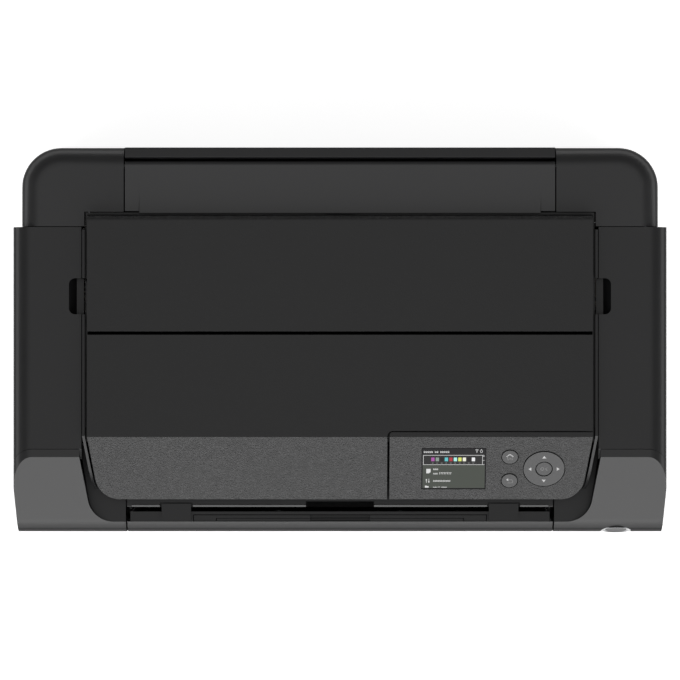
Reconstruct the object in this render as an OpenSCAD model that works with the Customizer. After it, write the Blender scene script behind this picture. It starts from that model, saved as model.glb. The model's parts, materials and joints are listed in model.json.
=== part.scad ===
// Desktop inkjet photo printer for wide sheets, built as an assembly of separate pieces.
// Frame in millimetres: X to the right, Y to the back, Z up.
// The origin is on the table, under the middle of the closed printer.

/* [Body] */
// Width over the two side covers
body_w = 640; // [637:1:641]
// Height of the centre covers above the table
body_h = 200; // [199:1:201]
// How far the centre covers stand above the side covers
centre_raise = 11; // [10:1:12]
// Wall of the outer covers
wall = 2.8; // [2.4:0.1:3]
// Radius between the top and the side of a side cover
side_fillet = 19; // [17:1:20]
// Plan radius of the two rear corners
rear_corner_r = 38.7; // [38.2:0.1:38.7]
// Radius along the top edge of the rear cover
rear_fillet = 19; // [18:0.5:19]

/* [Front slope] */
// Angle of the operation panel and the front corners, from level
slope = 31.5; // [31:0.5:32]
// Radius of the corners of the centre panel, seen from above
panel_corner_r = 24; // [22:1:25]

/* [Controls] */
// Diameter of the four-way ring
ring_d = 39.8; // [38:0.2:41]
// Diameter of the middle button
ok_d = 15.2; // [15:0.2:16]
// Diameter of the two small buttons
small_d = 15.4; // [15:0.2:17]
// Diameter of the power button
power_d = 20; // [18:0.5:20]
// Width of the display window
lcd_w = 62.5; // [61:0.5:63]
// Height of the display window along the slope
lcd_h = 47.5; // [46:0.5:47.5]

/* [Paper path] */
// Radius of the main feed roller
feed_r = 8; // [7.5:0.1:8]
// Radius of the exit roller
exit_r = 7.5; // [7:0.1:7.5]
// Gear module of the paper drive
gear_m = 1.25; // [1.25]
// Half the widest sheet, to the inside of a paper guide
sheet_half = 165; // [160:1:165]

/* [Ink] */
// Number of ink tanks in the carriage
tank_count = 10; // [8:1:10]
// Distance from one tank to the next
tank_pitch = 13; // [13]

/* [Hidden] */
$fn = 64;

// ---- Levels and faces that the covers share ----
half_w = body_w / 2;
top_z = body_h;
side_z = top_z - centre_raise;
rear_y = 189.5;
front_y = -188;
cover_bottom = 12;
foot_h = 6;
seam = 0.6;
bend_y = -93.2;
crease_y = -113;
panel_front_y = -155.5;
lip_y = -174.5;
tray_lip_y = -177.4;
lip_r = (lip_y - front_y) / (1 - sin(slope));
lip_z = side_z - (crease_y - lip_y) * tan(slope);
arc_y = lip_y + lip_r * sin(slope);
arc_z = lip_z - lip_r * cos(slope);
ledge_z = 149.2;

// ---- Centre covers ----
tongue_half = 246.8;
tongue_rear_y = 125.5;
cover_seam_y = 9.7;
plate_back_y = 6.4;
skin = 3;
skirt = 7;
taper = 9.3;
panel_left_x = 48.4;
panel_back_y = -88.5;
deck_z = 187;
hinge_y = 117.5;
hinge_z = 194;
hinge_r = 6;

// ---- Rear tray ----
mouth_half = 211.2;
lean = 15;
lid_hinge_y = 171.5;
lid_hinge_z = side_z - 5;
lid_front_y = 127;
support_y = 179.9;
pickup_y = 141;
pickup_z = 104;

// ---- Paper drive ----
feed_y = 112;
feed_z = 88;
feed_teeth = 40;
idler_teeth = 46;
pinion_teeth = 14;
feed_gear_r = gear_m * feed_teeth / 2;
idler_gear_r = gear_m * idler_teeth / 2;
pinion_gear_r = gear_m * pinion_teeth / 2;
idler_y = feed_y - feed_gear_r - idler_gear_r;
exit_y = idler_y - idler_gear_r - feed_gear_r;
motor_angle = -50;
motor_y = feed_y + (feed_gear_r + pinion_gear_r) * cos(motor_angle);
motor_z = feed_z + (feed_gear_r + pinion_gear_r) * sin(motor_angle);
pinch_r = 3.4;
pinch_z = feed_z + feed_r + pinch_r + 0.15;
star_r = 5;
star_z = feed_z + exit_r + star_r + 0.15;
gear_x0 = -256;
gear_x1 = -249;
plate_left_x = -246;
plate_right_x = 298;
plate_t = 1.5;

// ---- Carriage ----
shaft_y = 118;
shaft_z = 125;
shaft_r = 5;
carriage_x = 222;
carriage_half = 70;
belt_y = 134;
belt_z = 139;
pulley_r = 5.5;
pulley_left_x = -226;
pulley_right_x = 286;

// ---- Output tray ----
tray_half = 209.4;
tray_hinge_y = -176;
tray_hinge_z = 22;
extension_half = 144;

// ---------------------------------------------------------------- helpers
module box(x0, x1, y0, y1, z0, z1) {
    translate([x0, y0, z0]) cube([x1 - x0, y1 - y0, z1 - z0]);
}

// A Y-Z outline drawn out along X.
module along_x(x0, x1) {
    translate([x0, 0, 0]) rotate([90, 0, 90]) linear_extrude(x1 - x0) children();
}

// An X-Z outline drawn out along Y.
module along_y(y0, y1) {
    translate([0, y1, 0]) rotate([90, 0, 0]) linear_extrude(y1 - y0) children();
}

module along_z(z0, z1) {
    translate([0, 0, z0]) linear_extrude(z1 - z0) children();
}

module rod_x(x0, x1, y, z, r) {
    translate([x0, y, z]) rotate([0, 90, 0]) cylinder(h = x1 - x0, r = r);
}

module rod_y(y0, y1, x, z, r) {
    translate([x, y1, z]) rotate([90, 0, 0]) cylinder(h = y1 - y0, r = r);
}

module rod_z(z0, z1, x, y, r) {
    translate([x, y, z0]) cylinder(h = z1 - z0, r = r);
}

module both_sides() {
    children();
    mirror([1, 0, 0]) children();
}

module rect(x0, x1, y0, y1) {
    translate([x0, y0]) square([x1 - x0, y1 - y0]);
}

module round_rect(x0, x1, y0, y1, r) {
    rect(x0 + r, x1 - r, y0, y1);
    rect(x0, x1, y0 + r, y1 - r);
    for (x = [x0 + r, x1 - r], y = [y0 + r, y1 - r]) translate([x, y]) circle(r);
}

// Places children on the sloping front panel: their Z is the outward normal there.
module on_slope(x, y) {
    translate([x, y, top_z - (bend_y - y) * tan(slope)]) rotate([slope, 0, 0]) children();
}

// Places children on the leaning paper chute: local Y runs up the chute, local Z points forward.
module on_chute() {
    translate([0, support_y, side_z]) rotate([90 - lean, 0, 0]) children();
}

// Involute gear outline with straight-sided flanks and working backlash; tooth 0 points along +X.
function involute(a) = tan(a) - a * PI / 180;
function tooth_half_angle(teeth, r) =
    let (pitch_r = gear_m * teeth / 2, base_r = pitch_r * cos(20), backlash = 0.16)
    (90 / teeth) - (backlash / pitch_r) * 90 / PI
        + (involute(20) - (r <= base_r ? 0 : involute(acos(base_r / r)))) * 180 / PI;
module gear_outline(teeth) {
    pitch_r = gear_m * teeth / 2;
    radii = [pitch_r - 1.2 * gear_m, pitch_r - 0.5 * gear_m, pitch_r, pitch_r + 0.5 * gear_m,
        pitch_r + 0.92 * gear_m];
    polygon([for (i = [0 : teeth - 1], side = [-1, 1], k = [0 : 4])
        let (r = side < 0 ? radii[k] : radii[4 - k],
             a = i * 360 / teeth + side * tooth_half_angle(teeth, r))
        [r * cos(a), r * sin(a)]]);
}

// Turn that puts gear B in mesh with gear A, where phi is the direction from A to B.
function mesh_turn(phi, turn_a, teeth_a, teeth_b) =
    phi + 180 - 180 / teeth_b + (phi - turn_a) * teeth_a / teeth_b;

// ---------------------------------------------------------------- shared outlines
// A U-shaped plan: straight sides, a taper from y0 on, round corners and a straight front.
// half is the half width at y0, and grow pushes the whole outline outwards.
module u_plan(half, y0, angle, corner, y_front, y_back, grow) {
    level = cos(angle) * half - sin(angle) * y0 + grow;
    r = corner + grow;
    cy = y_front + corner;
    cx = (level - r + sin(angle) * cy) / cos(angle);
    start_y = (cos(angle) * (half + grow) - level) / sin(angle);
    steps = 20;
    arc = [for (i = [0 : steps]) let (a = -angle - i * (90 - angle) / steps)
        [cx + r * cos(a), cy + r * sin(a)]];
    side = concat([[half + grow, y_back], [half + grow, start_y]], arc);
    last = len(side) - 1;
    polygon(concat(side, [for (i = [0 : last]) [-side[last - i][0], side[last - i][1]]]));
}

// Plan of the raised centre covers.
module tongue_plan(grow, y_back) {
    u_plan(tongue_half, bend_y, taper, panel_corner_r, panel_front_y, y_back, grow);
}

// Plan of the recess that the centre covers sit in, between the two front corners.
module recess_plan(grow) {
    u_plan(254.6, crease_y, taper, panel_corner_r + 1, tray_lip_y - 0.1, -90, grow);
}

// X-Z section of a side cover and front corner, set in by t.
module side_section(t, x0, z0) {
    rect(x0, half_w - t, z0, side_z - side_fillet);
    rect(x0, half_w - side_fillet, z0, side_z - t);
    translate([half_w - side_fillet, side_z - side_fillet]) circle(side_fillet - t);
}

// Y-Z section of a front corner, set in by t, ending at the back along the given points.
module corner_section(t, z0, back) {
    r = lip_r - t;
    polygon(concat([[crease_y + t * tan(slope / 2), side_z - t],
        [arc_y - r * sin(slope), arc_z + r * cos(slope)], [arc_y, arc_z], [front_y + t, arc_z],
        [front_y + t, z0]], back));
    intersection() {
        translate([arc_y, arc_z]) circle(r);
        rect(front_y - 1, arc_y, 0, 260);
    }
}

// Y-Z section of the centre panel between depth a and depth b under its outer face.
module panel_band(a, b, y_back) {
    function crease(d) = [bend_y + d * tan(slope / 2), top_z - d];
    function front(d) = [panel_front_y - 3, top_z - (bend_y - panel_front_y + 3) * tan(slope) - d / cos(slope)];
    polygon([[y_back, top_z - a], crease(a), front(a), front(b), crease(b), [y_back, top_z - b]]);
}

// ---------------------------------------------------------------- outer covers
module base_pan() {
    floor_t = 3;
    rim = 24;
    edge = half_w - wall - 0.3;
    module plan(t) {
        polygon([[-edge + t, 108.9 - t], [-edge + t, -150], [-206, -157.5 + t], [206, -157.5 + t],
            [edge - t, -150], [edge - t, 108.9 - t]]);
        rect(-308.4 + t, 308.4 - t, 104, 150.8);
        rect(-272.8, 272.8, 150, 186.4 - t);
        for (s = [-1, 1]) translate([s * 272.8, 150.8]) circle(35.6 - t);
        for (s = [0, 1]) mirror([s, 0]) polygon([[214 + t, -140], [214 + t, -184.4 + t],
            [edge - 2.7 - t, -184.4 + t], [edge - t, -146], [edge - t, -140]]);
    }
    color([0.1, 0.1, 0.105]) {
        difference() {
            union() {
                difference() {
                    along_z(foot_h, rim) plan(0);
                    along_z(foot_h + floor_t, rim + 1) plan(2.5);
                }
                both_sides() box(216.4, 223, -181, -168, foot_h + 1, 30);
            }
            both_sides() rod_x(213, 224, tray_hinge_y, tray_hinge_z, 2.55);
            both_sides() box(210.3, 212.9, -158, -141, cover_bottom - 0.3, rim + 1);
        }
        for (y = [-120, -70, -20]) box(-204, 204, y, y + 2, foot_h + floor_t - 0.01, 16);
        box(-209, 209, -169.2, -157.4, foot_h, foot_h + floor_t);
    }
}

module rubber_feet() {
    color([0.05, 0.05, 0.05])
        for (x = [-268, 268], y = [-150, 140]) {
            rod_z(0, 4.5, x, y, 11);
            rod_z(4.5, foot_h, x, y, 9);
        }
}

// Right-hand side cover: top, outer wall, a short inner flange and the finger scoop.
module side_cover() {
    flange_t = 2.2;
    inner_x = 252.5;
    module scoop(grow) {
        round_rect(inner_x - 12, 264.6 + grow, 26.4 - grow, 61.6 + grow, 6 + grow);
    }
    module scoop_cut() {
        intersection() {
            along_z(170, side_z + 2) scoop(0);
            along_y(20, 70) polygon([[230, 177], [257.5, 177], [264.7, side_z], [264.7, 200], [230, 200]]);
        }
    }
    outline = [[-104.9, side_z + 1], [111.7, side_z + 1], [111.7, cover_bottom], [-141, cover_bottom],
        [-141, 150], [-104.9, side_z]];
    color([0.13, 0.13, 0.135]) {
        difference() {
            intersection() {
                along_x(inner_x, half_w + 1) polygon(outline);
                along_y(-160, 170) side_section(0, inner_x, cover_bottom);
            }
            intersection() {
                along_y(-170, 180) side_section(wall, inner_x + flange_t, 0);
                box(inner_x, 309.2, -171, 181, -1, side_z);
            }
            intersection() {
                along_y(-170, 180) side_section(wall, 309.2, 0);
                box(309.19, half_w, -171, 109.2, -1, side_z);
            }
            box(inner_x - 1, inner_x + flange_t + 0.01, -170, 180, 0, 178);
            scoop_cut();
        }
        difference() {
            intersection() {
                along_z(174.5, side_z - wall + 0.01) scoop(2);
                box(inner_x, 280, 0, 100, 170, 200);
            }
            scoop_cut();
        }
        box(250.6, inner_x + 0.01, 27, 61, 174.5, 177);
    }
}

module right_side_cover() { side_cover(); }
module left_side_cover() { mirror([1, 0, 0]) side_cover(); }

// Right-hand front corner: sloping facet, rounded lip, front wall and the wall round the recess.
module front_corner() {
    inner_x = 210.9;
    back = [[-141.6, cover_bottom], [-141.6, 150], [-105.5, side_z]];
    module block(t, x0, z0, back_points) {
        intersection() {
            along_x(x0, half_w + 1) corner_section(t, z0, back_points);
            along_y(front_y - 1, -80) side_section(t, x0, z0);
            along_z(z0, 260) polygon([[x0, front_y - 1], [half_w - 2.6 - t, front_y - 1],
                [half_w - t, -145], [half_w - t, -80], [x0, -80]]);
        }
    }
    difference() {
        block(0, inner_x, cover_bottom, back);
        difference() {
            block(wall, inner_x + 2, 0, [[-90, 0], [-90, side_z - wall]]);
            along_z(ledge_z - 3.3, 260) difference() {
                recess_plan(2);
                recess_plan(0);
            }
        }
        along_z(ledge_z - 3.3, 260) recess_plan(0);
        rod_x(inner_x - 1, inner_x + 3, tray_hinge_y, tray_hinge_z, 6);
    }
}

// The power button's axis on the right-hand corner, tilted up from level.
power_tilt = 11;
power_ring_r = power_d / 2 + 6;
module at_power() {
    translate([272.6, -186.7, 129.7]) rotate([90 - power_tilt, 0, 0]) children();
}

module front_left_corner() {
    color([0.3, 0.3, 0.305]) mirror([1, 0, 0]) front_corner();
}

module front_right_corner() {
    color([0.3, 0.3, 0.305]) difference() {
        front_corner();
        at_power() translate([0, 0, -12]) cylinder(h = 30, r = power_ring_r + 0.2);
    }
}

module power_button_ring() {
    color([0.75, 0.75, 0.76]) at_power() difference() {
        union() {
            translate([0, 0, -5]) cylinder(h = 4.2, r = power_ring_r);
            translate([0, 0, -0.81]) cylinder(h = 0.81, r1 = power_ring_r, r2 = power_ring_r - 0.8);
            translate([0, 0, -7]) cylinder(h = 2.2, r = power_d / 2 + 1.5);
        }
        translate([0, 0, -8]) cylinder(h = 12, r = power_d / 2 + 0.3);
        translate([0, 0, -1.2]) cylinder(h = 1.4, r1 = power_d / 2 + 0.3, r2 = power_d / 2 + 3.6);
    }
}

module power_button() {
    color([0.62, 0.62, 0.63]) at_power() {
        translate([0, 0, -7.5]) cylinder(h = 7.1, r = power_d / 2);
        translate([0, 0, -9.5]) cylinder(h = 2.2, r = power_d / 2 + 1);
    }
}

// Rear cover: rounded corners, back wall, decks beside the paper mouth and ports in the back.
module rear_cover() {
    rear_half = 311.5;
    module edge(t, r0) {
        r = rear_corner_r - t;
        rect(r0, r, cover_bottom - 12 * sign(t), side_z - rear_fillet);
        rect(r0, r - rear_fillet + t, cover_bottom - 12 * sign(t), side_z - t);
        translate([rear_corner_r - rear_fillet, side_z - rear_fillet]) circle(rear_fillet - t);
    }
    corner_x = rear_half - rear_corner_r;
    corner_y = rear_y - rear_corner_r;
    module block(t) {
        z0 = cover_bottom - 12 * sign(t);
        for (s = [0, 1]) mirror([s, 0, 0]) {
            translate([corner_x, corner_y, 0]) rotate_extrude(angle = 90) edge(t, 0);
            translate([corner_x, 0, 0]) along_y(90, corner_y) edge(t, 0);
        }
        rotate([0, 0, 90]) translate([corner_y, 0, 0]) along_y(-corner_x, corner_x) edge(t, 0);
        box(-corner_x, corner_x, 90, corner_y, z0, side_z - t);
    }
    color([0.14, 0.14, 0.145]) {
        difference() {
            block(0);
            block(wall);
            box(-400, 400, 80, 112.4, 0, 260);
            box(-249.6, 249.6, 80, tongue_rear_y + 1, 60, 260);
            box(-mouth_half, mouth_half, 80, 200, 171.8, 260);
            for (x = [-245, -262]) box(x - 1, x + 15, 180, 195, x < -250 ? 99 : 69, x < -250 ? 114 : 82);
            inlet_opening();
            for (x = [-290, -225, 225, 290]) rod_y(150, 195, x, 30, 3.8);
            for (i = [0 : 7]) box(120, 180, 180, 195, 40 + i * 6, 42.4 + i * 6);
        }
        both_sides() difference() {
            along_x(mouth_half, mouth_half + 2) polygon([[lid_front_y, 150], [186.8, 150], [186.8, 170],
                [183.6, 179], [178, side_z - wall + 0.01], [lid_front_y, side_z - wall + 0.01]]);
            rod_x(mouth_half - 1, mouth_half + 3, lid_hinge_y, lid_hinge_z, 2.05);
        }
    }
}

// Opening in the back wall for the mains inlet.
module inlet_opening() {
    box(237.5, 262.5, 180, 195, 44, 62);
}

module case_screws() {
    color([0.2, 0.2, 0.2]) for (x = [-225, 225]) difference() {
        union() {
            rod_y(187.2, 189.2, x, 30, 3.4);
            rod_y(181, 187.3, x, 30, 1.6);
        }
        box(x - 2.4, x + 2.4, 188.4, 190, 29.5, 30.5);
        box(x - 0.5, x + 0.5, 188.4, 190, 27.6, 32.4);
    }
}

// Frame round the paper exit: ledges beside the tray, cross beam with two clip-on trims and a
// finger notch between them, ceiling, side walls.
module front_frame() {
    catch_cut = 1;
    inner_x = 210.9;
    color([0.12, 0.12, 0.125]) {
        both_sides() along_z(ledge_z - 3, ledge_z) intersection() {
            recess_plan(-0.4);
            union() {
                rect(inner_x, 300, -190, -100);
                rect(206, inner_x + 0.1, -154, -100);
            }
        }
        both_sides() box(206, 208.5, -163, -8, 57, ledge_z - 2.99);
        both_sides() box(206, 208.5, -154.5, -8, foot_h + 3, 57.01);
        both_sides() box(251.8, 262, -101.5, -100, ledge_z - 3, 177.5);
        box(-209.4, 209.4, -157.45, -154, 141.5, 152);
        box(-206, 206, -154.01, -135, 141.5, 152);
        both_sides() difference() {
            union() {
                box(33.5, 209.4, -161.5, -157.5, 141.5, 152);
                rod_x(33.5, 209.4, -161.5, 150.5, 1.5);
                box(33.5, 209.4, -163, -161.49, 141.5, 150.5);
            }
            box(146 - catch_cut, 176 + catch_cut, -170, -158.5, 146.5, 160);
        }
        box(-206, 206, -135.01, -8, 141.5, 144);
        for (x = [-150 : 60 : 150]) difference() {
            box(x - 14, x + 14, -8.01, 10.5, 98, 118);
            rod_x(x - 10, x + 10, exit_y, star_z, star_r + 4);
            rod_x(x - 15, x + 15, exit_y, star_z, 1.45);
        }
        for (x = [-150 : 60 : 150]) box(x - 14, x + 14, -12, -8, 98, 141.6);
    }
}

// Deck under the top cover with the access opening, hinge lugs, and the rim round the centre covers.
module access_frame() {
    color([0.11, 0.11, 0.115]) {
        difference() {
            box(-248.4, 248.4, -98, tongue_rear_y + 0.3, deck_z - 4, deck_z);
            box(-236, 236, 14, 113, deck_z - 5, deck_z + 1);
        }
        both_sides() difference() {
            union() {
                box(228, 236, hinge_y - 5, hinge_y, deck_z - 0.01, hinge_z);
                rod_x(228, 236, hinge_y, hinge_z, 3.4);
            }
            rod_x(227, 237, hinge_y, hinge_z, 2.05);
        }
        difference() {
            intersection() {
                along_z(ledge_z + 0.3, 260) difference() {
                    tongue_plan(4.6, 109);
                    tongue_plan(2.1, 130);
                }
                along_x(-400, 400) polygon([[109, 0], [109, deck_z + 8], [bend_y + 1, deck_z + 8],
                    [-126, deck_z + 8 - (bend_y + 127) * tan(slope)],
                    [-150, deck_z - 8 - (bend_y + 151) * tan(slope)], [-150, 0]]);
                union() {
                    box(-300, 300, -84, 109, deck_z - 4, 260);
                    box(-300, 300, -200, -83.99, 0, 260);
                }
            }
            both_sides() box(240, 260, 26.4, 61.6, 170, 260);
        }
        for (y = [[-84, 26.4], [61.6, 109]]) both_sides() box(248.39, 249.2, y[0], y[1], deck_z - 4, deck_z);
    }
}

// ---------------------------------------------------------------- centre covers and controls
module panel_region(dx, dy) {
    r = 3 + dx;
    rect(panel_left_x - dx + r, 300, -200, panel_back_y + dy);
    rect(panel_left_x - dx, 300, -200, panel_back_y + dy - r);
    translate([panel_left_x - dx + r, panel_back_y + dy - r]) circle(r);
}

module centre_shell(edge) {
    difference() {
        intersection() {
            along_z(100, 260) children(0);
            along_x(-300, 300) panel_band(0, skirt, plate_back_y);
        }
        intersection() {
            along_z(90, 261) children(1);
            along_x(-301, 301) panel_band(skin, 30, plate_back_y - edge);
        }
    }
}

module front_top_panel() {
    color([0.12, 0.12, 0.125]) {
        centre_shell(2.5) {
            difference() {
                tongue_plan(-0.4, plate_back_y);
                panel_region(2.3, 1.2);
            }
            difference() {
                tongue_plan(-2.9, plate_back_y - 2.5);
                panel_region(4.8, 3.7);
            }
        }
        for (x = [-160, -60]) box(x, x + 2, -80, 4, top_z - skirt, top_z - skin + 0.01);
        for (x = [-220, -20, 220], y = [-72, -6]) rod_z(deck_z, top_z - skin + 0.01, x, y, 3.5);
    }
}

lcd_x = 111.2;
lcd_y = -124.55;
home_x = 165.9;
home_y = -112.9;
back_y = -136.4;
ring_x = 199.5;
ring_y = -124.65;
key_clear = 0.9;

module operation_panel() {
    color([0.16, 0.16, 0.165]) for (x = [62, 232]) rod_z(deck_z, top_z - skin + 0.01, x, -93.6, 2.5);
    color([0.16, 0.16, 0.165]) difference() {
        centre_shell(2.5) {
            intersection() {
                tongue_plan(-0.4, plate_back_y);
                panel_region(0, 0);
            }
            intersection() {
                tongue_plan(-2.9, plate_back_y);
                panel_region(-2.5, -2.5);
            }
        }
        on_slope(lcd_x, lcd_y) {
            translate([-lcd_w / 2 - 0.3, -lcd_h / 2 - 0.3, -1.6]) cube([lcd_w + 0.6, lcd_h + 0.6, 5]);
            translate([-lcd_w / 2 + 2, -lcd_h / 2 + 2, -6]) cube([lcd_w - 4, lcd_h - 4, 9]);
        }
        for (p = [[home_x, home_y, small_d], [home_x, back_y, small_d], [ring_x, ring_y, ring_d]])
            on_slope(p[0], p[1]) translate([0, 0, -5]) cylinder(h = 9, r = p[2] / 2 + key_clear);
    }
}

module lcd_window() {
    color([0.04, 0.04, 0.05]) on_slope(lcd_x, lcd_y)
        translate([-lcd_w / 2, -lcd_h / 2, -1.5]) cube([lcd_w, lcd_h, 1.3]);
}

module lcd_module() {
    color([0.3, 0.3, 0.32]) on_slope(lcd_x, lcd_y) {
        translate([-lcd_w / 2 + 2.2, -lcd_h / 2 + 2.2, -3.2]) cube([lcd_w - 4.4, lcd_h - 4.4, 1.6]);
        translate([-lcd_w / 2, -lcd_h / 2, -6.8]) cube([lcd_w, lcd_h, 3.6]);
    }
}

module panel_board() {
    color([0.05, 0.3, 0.12]) on_slope(ring_x, ring_y) {
        translate([-144, -24, -9.6]) cube([170, 46, 1.6]);
        for (p = [[0, 0], [-14, 0], [14, 0], [0, -14], [0, 14], [home_x - ring_x, 13.4], [home_x - ring_x, -13.6]])
            translate([p[0] - 2, p[1] - 2, -8.01]) cube([4, 4, 1.6]);
        translate([-140, -20, -8.01]) cube([14, 8, 1]);
    }
}

// A key of the panel: visible cap and a wider flange behind the panel skin.
module key(d, proud) {
    translate([0, 0, -4.4]) cylinder(h = 4.4 + proud, r = d / 2);
    translate([0, 0, -4.4]) cylinder(h = 1.1, r = d / 2 + 1.8);
}

module home_button() { color([0.36, 0.36, 0.37]) on_slope(home_x, home_y) key(small_d, 0.5); }
module back_button() { color([0.36, 0.36, 0.37]) on_slope(home_x, back_y) key(small_d, 0.5); }

module four_way_ring() {
    color([0.36, 0.36, 0.37]) on_slope(ring_x, ring_y) difference() {
        key(ring_d, 0.5);
        translate([0, 0, -6]) cylinder(h = 9, r = ok_d / 2 + key_clear);
        translate([0, 0, -6]) cylinder(h = 3.8, r = ok_d / 2 + 2.2);
    }
}

module ok_button() {
    color([0.36, 0.36, 0.37]) on_slope(ring_x, ring_y) {
        translate([0, 0, -4.4]) cylinder(h = 4.7, r = ok_d / 2);
        translate([0, 0, -4.4]) cylinder(h = 0.9, r = ok_d / 2 + 1.5);
    }
}

// Access cover over the carriage: skin, skirts, a rolled rear edge round its hinge, and hinge pins.
module top_cover() {
    side = tongue_half - 0.4;
    module profile(t) {
        rect(cover_seam_y + t, hinge_y, top_z - 10.5, top_z - t);
        translate([hinge_y, hinge_z]) circle(hinge_r - t);
    }
    color([0.13, 0.13, 0.135]) {
        difference() {
            along_x(-side, side) profile(0);
            along_x(-side + 2.5, side - 2.5) {
                rect(cover_seam_y + 2.5, hinge_y, top_z - 20, top_z - skin);
                translate([hinge_y, hinge_z]) circle(hinge_r - 2.2);
                rect(hinge_y - 8, hinge_y + 8, 170, hinge_z);
            }
        }
        both_sides() {
            along_x(237, 240) {
                translate([hinge_y, hinge_z]) circle(3.3);
                rect(hinge_y - 3.3, hinge_y + 3.3, hinge_z, top_z - skin + 0.2);
            }
            rod_x(227, 237.01, hinge_y, hinge_z, 2);
        }
        for (x = [-150, -50, 50, 150]) box(x, x + 2, cover_seam_y + 2, 108, top_z - 9, top_z - skin + 0.01);
    }
}

// ---------------------------------------------------------------- rear tray
// Lid over the rear paper mouth; it swings back on its rear edge.
module rear_tray_cover() {
    half = mouth_half - 1.1;
    module lid_section(t) {
        rect(lid_front_y + t, lid_hinge_y, side_z - 8, side_z - t);
    }
    color([0.15, 0.15, 0.155]) {
        difference() {
            along_x(-half, half) lid_section(0);
            along_x(-half + 2.5, half - 2.5) rect(lid_front_y + 2.5, lid_hinge_y + 1, side_z - 20, side_z - skin);
        }
        rod_x(-half, half, lid_hinge_y, lid_hinge_z, 5);
        both_sides() rod_x(half - 0.01, mouth_half + 2, lid_hinge_y, lid_hinge_z, 2);
        along_x(-196, 196) polygon([[146, side_z - 0.01], [lid_front_y, side_z - 0.01],
            [lid_front_y, side_z - 1.5], [lid_front_y - 1.8, side_z - 1.5], [lid_front_y - 1.8, side_z + 1.8]]);
        box(-16, 16, lid_front_y - 2.7, lid_front_y - 1.79, side_z - 1.5, side_z + 1.3);
    }
}

// Chute behind the sheets, side cheeks, front wall of the mouth, and the guide down to the feed roller.
module rear_tray() {
    color([0.12, 0.12, 0.125]) {
        on_chute() translate([-208, -102.5, 1.5]) cube([416, 86.5, 3]);
        on_chute() translate([0, guide_axis_up, 4.49]) cylinder(h = 2.9, r = 3);
        both_sides() difference() {
            intersection() {
                union() {
                    box(205.5, 208, 128, 186, 147, 178);
                    box(205.5, 208, 143, 186, 105.9, 147.01);
                    box(205.5, 208, 124, 165, 90, 106);
                }
                on_chute() translate([0, -110, 4.4]) cube([300, 200, 60]);
            }
            rod_x(204, 210, pickup_y, pickup_z, 3.06);
        }
        both_sides() box(205.5, 208, 128, 149, foot_h + 3, 90.01);
        box(-208, 208, 128, 130.5, 147, 178);
        along_x(-190, 190) polygon([[153.2, 92.2], [153.2, 89.5], [121.5, 91.5], [121.5, 94.2]]);
        for (x = [-140 : 70 : 140]) difference() {
            box(x - 5, x + 5, feed_y - 2, 128, 97, 106);
            rod_x(x - 12, x + 12, feed_y, pinch_z, pinch_r + 0.6);
        }
        box(-190, 190, 124, 128, 103, 106);
        both_sides() box(189.9, 205.6, 124, 128.1, 97, 106);
    }
}

// First stage of the rear paper support, which slides up along the chute.
module paper_support() {
    color([0.11, 0.11, 0.115]) on_chute() difference() {
        translate([-204, -92, -4.3]) cube([408, 85, 4.3]);
        for (x = [-150 : 50 : 150]) translate([x - 1, -90, -1]) cube([2, 78, 2]);
    }
}

// Second stage: its cap is the strip seen along the back edge.
module paper_support_extension() {
    color([0.12, 0.12, 0.125]) on_chute() {
        translate([-mouth_half + 1.1, -6.5, -9.9]) cube([2 * mouth_half - 2.2, 6.5, 9.9]);
        translate([-200, -88, -9]) cube([400, 82, 4.2]);
    }
}

rack_m = 1.25;
rack_pinion_teeth = 16;
rack_pinion_r = rack_m * rack_pinion_teeth / 2;
rack_pitch = PI * rack_m;
guide_axis_up = -48;

// Rack outline along X, teeth pointing down, with its pitch line on local Y 0.
module rack_outline(x0, x1) {
    n0 = ceil(x0 / rack_pitch);
    n1 = floor((x1 - 3) / rack_pitch);
    half = rack_pitch / 4 - 0.1;
    lean_x = rack_m * tan(20);
    rect(x0, x1, 1.2 * rack_m, 1.2 * rack_m + 4);
    for (i = [n0 : n1 - 1]) translate([(i + 0.5) * rack_pitch, 0]) polygon([
        [-half - 1.2 * lean_x, 1.2 * rack_m + 0.01], [-half + 0.92 * lean_x, -0.92 * rack_m],
        [half - 0.92 * lean_x, -0.92 * rack_m], [half + 1.2 * lean_x, 1.2 * rack_m + 0.01]]);
}

// Left guide: fence, foot and rack. The right one is the same piece turned half a turn.
module paper_guide() {
    on_chute() {
        translate([-sheet_half - 2.5, -75, 7.6]) cube([2.5, 57, 14.4]);
        translate([-sheet_half - 24, -75, 7.6]) cube([24, 55, 2.4]);
        translate([0, guide_axis_up + rack_pinion_r, 4.8]) linear_extrude(2.5)
            rack_outline(-sheet_half - 10, 14);
        translate([-sheet_half - 10, guide_axis_up + rack_pinion_r + 1.6, 7.2]) cube([10, 3.8, 0.5]);
    }
}

module left_paper_guide() { color([0.2, 0.2, 0.205]) paper_guide(); }
module right_paper_guide() {
    color([0.2, 0.2, 0.205]) on_chute() {
        translate([sheet_half, -75, 7.6]) cube([2.5, 57, 14.4]);
        translate([sheet_half, -75, 7.6]) cube([24, 55, 2.4]);
        translate([0, guide_axis_up - rack_pinion_r, 4.8]) rotate([0, 0, 180]) linear_extrude(2.5)
            rack_outline(-sheet_half - 10, 14);
        translate([sheet_half, guide_axis_up - rack_pinion_r - 5.4, 7.2]) cube([10, 3.8, 0.5]);
    }
}

module guide_pinion() {
    color([0.75, 0.75, 0.72]) on_chute() translate([0, guide_axis_up, 4.8]) difference() {
        rotate([0, 0, 90]) linear_extrude(2.5) gear_outline(rack_pinion_teeth);
        translate([0, 0, -1]) cylinder(h = 5, r = 3.06);
    }
}

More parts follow.
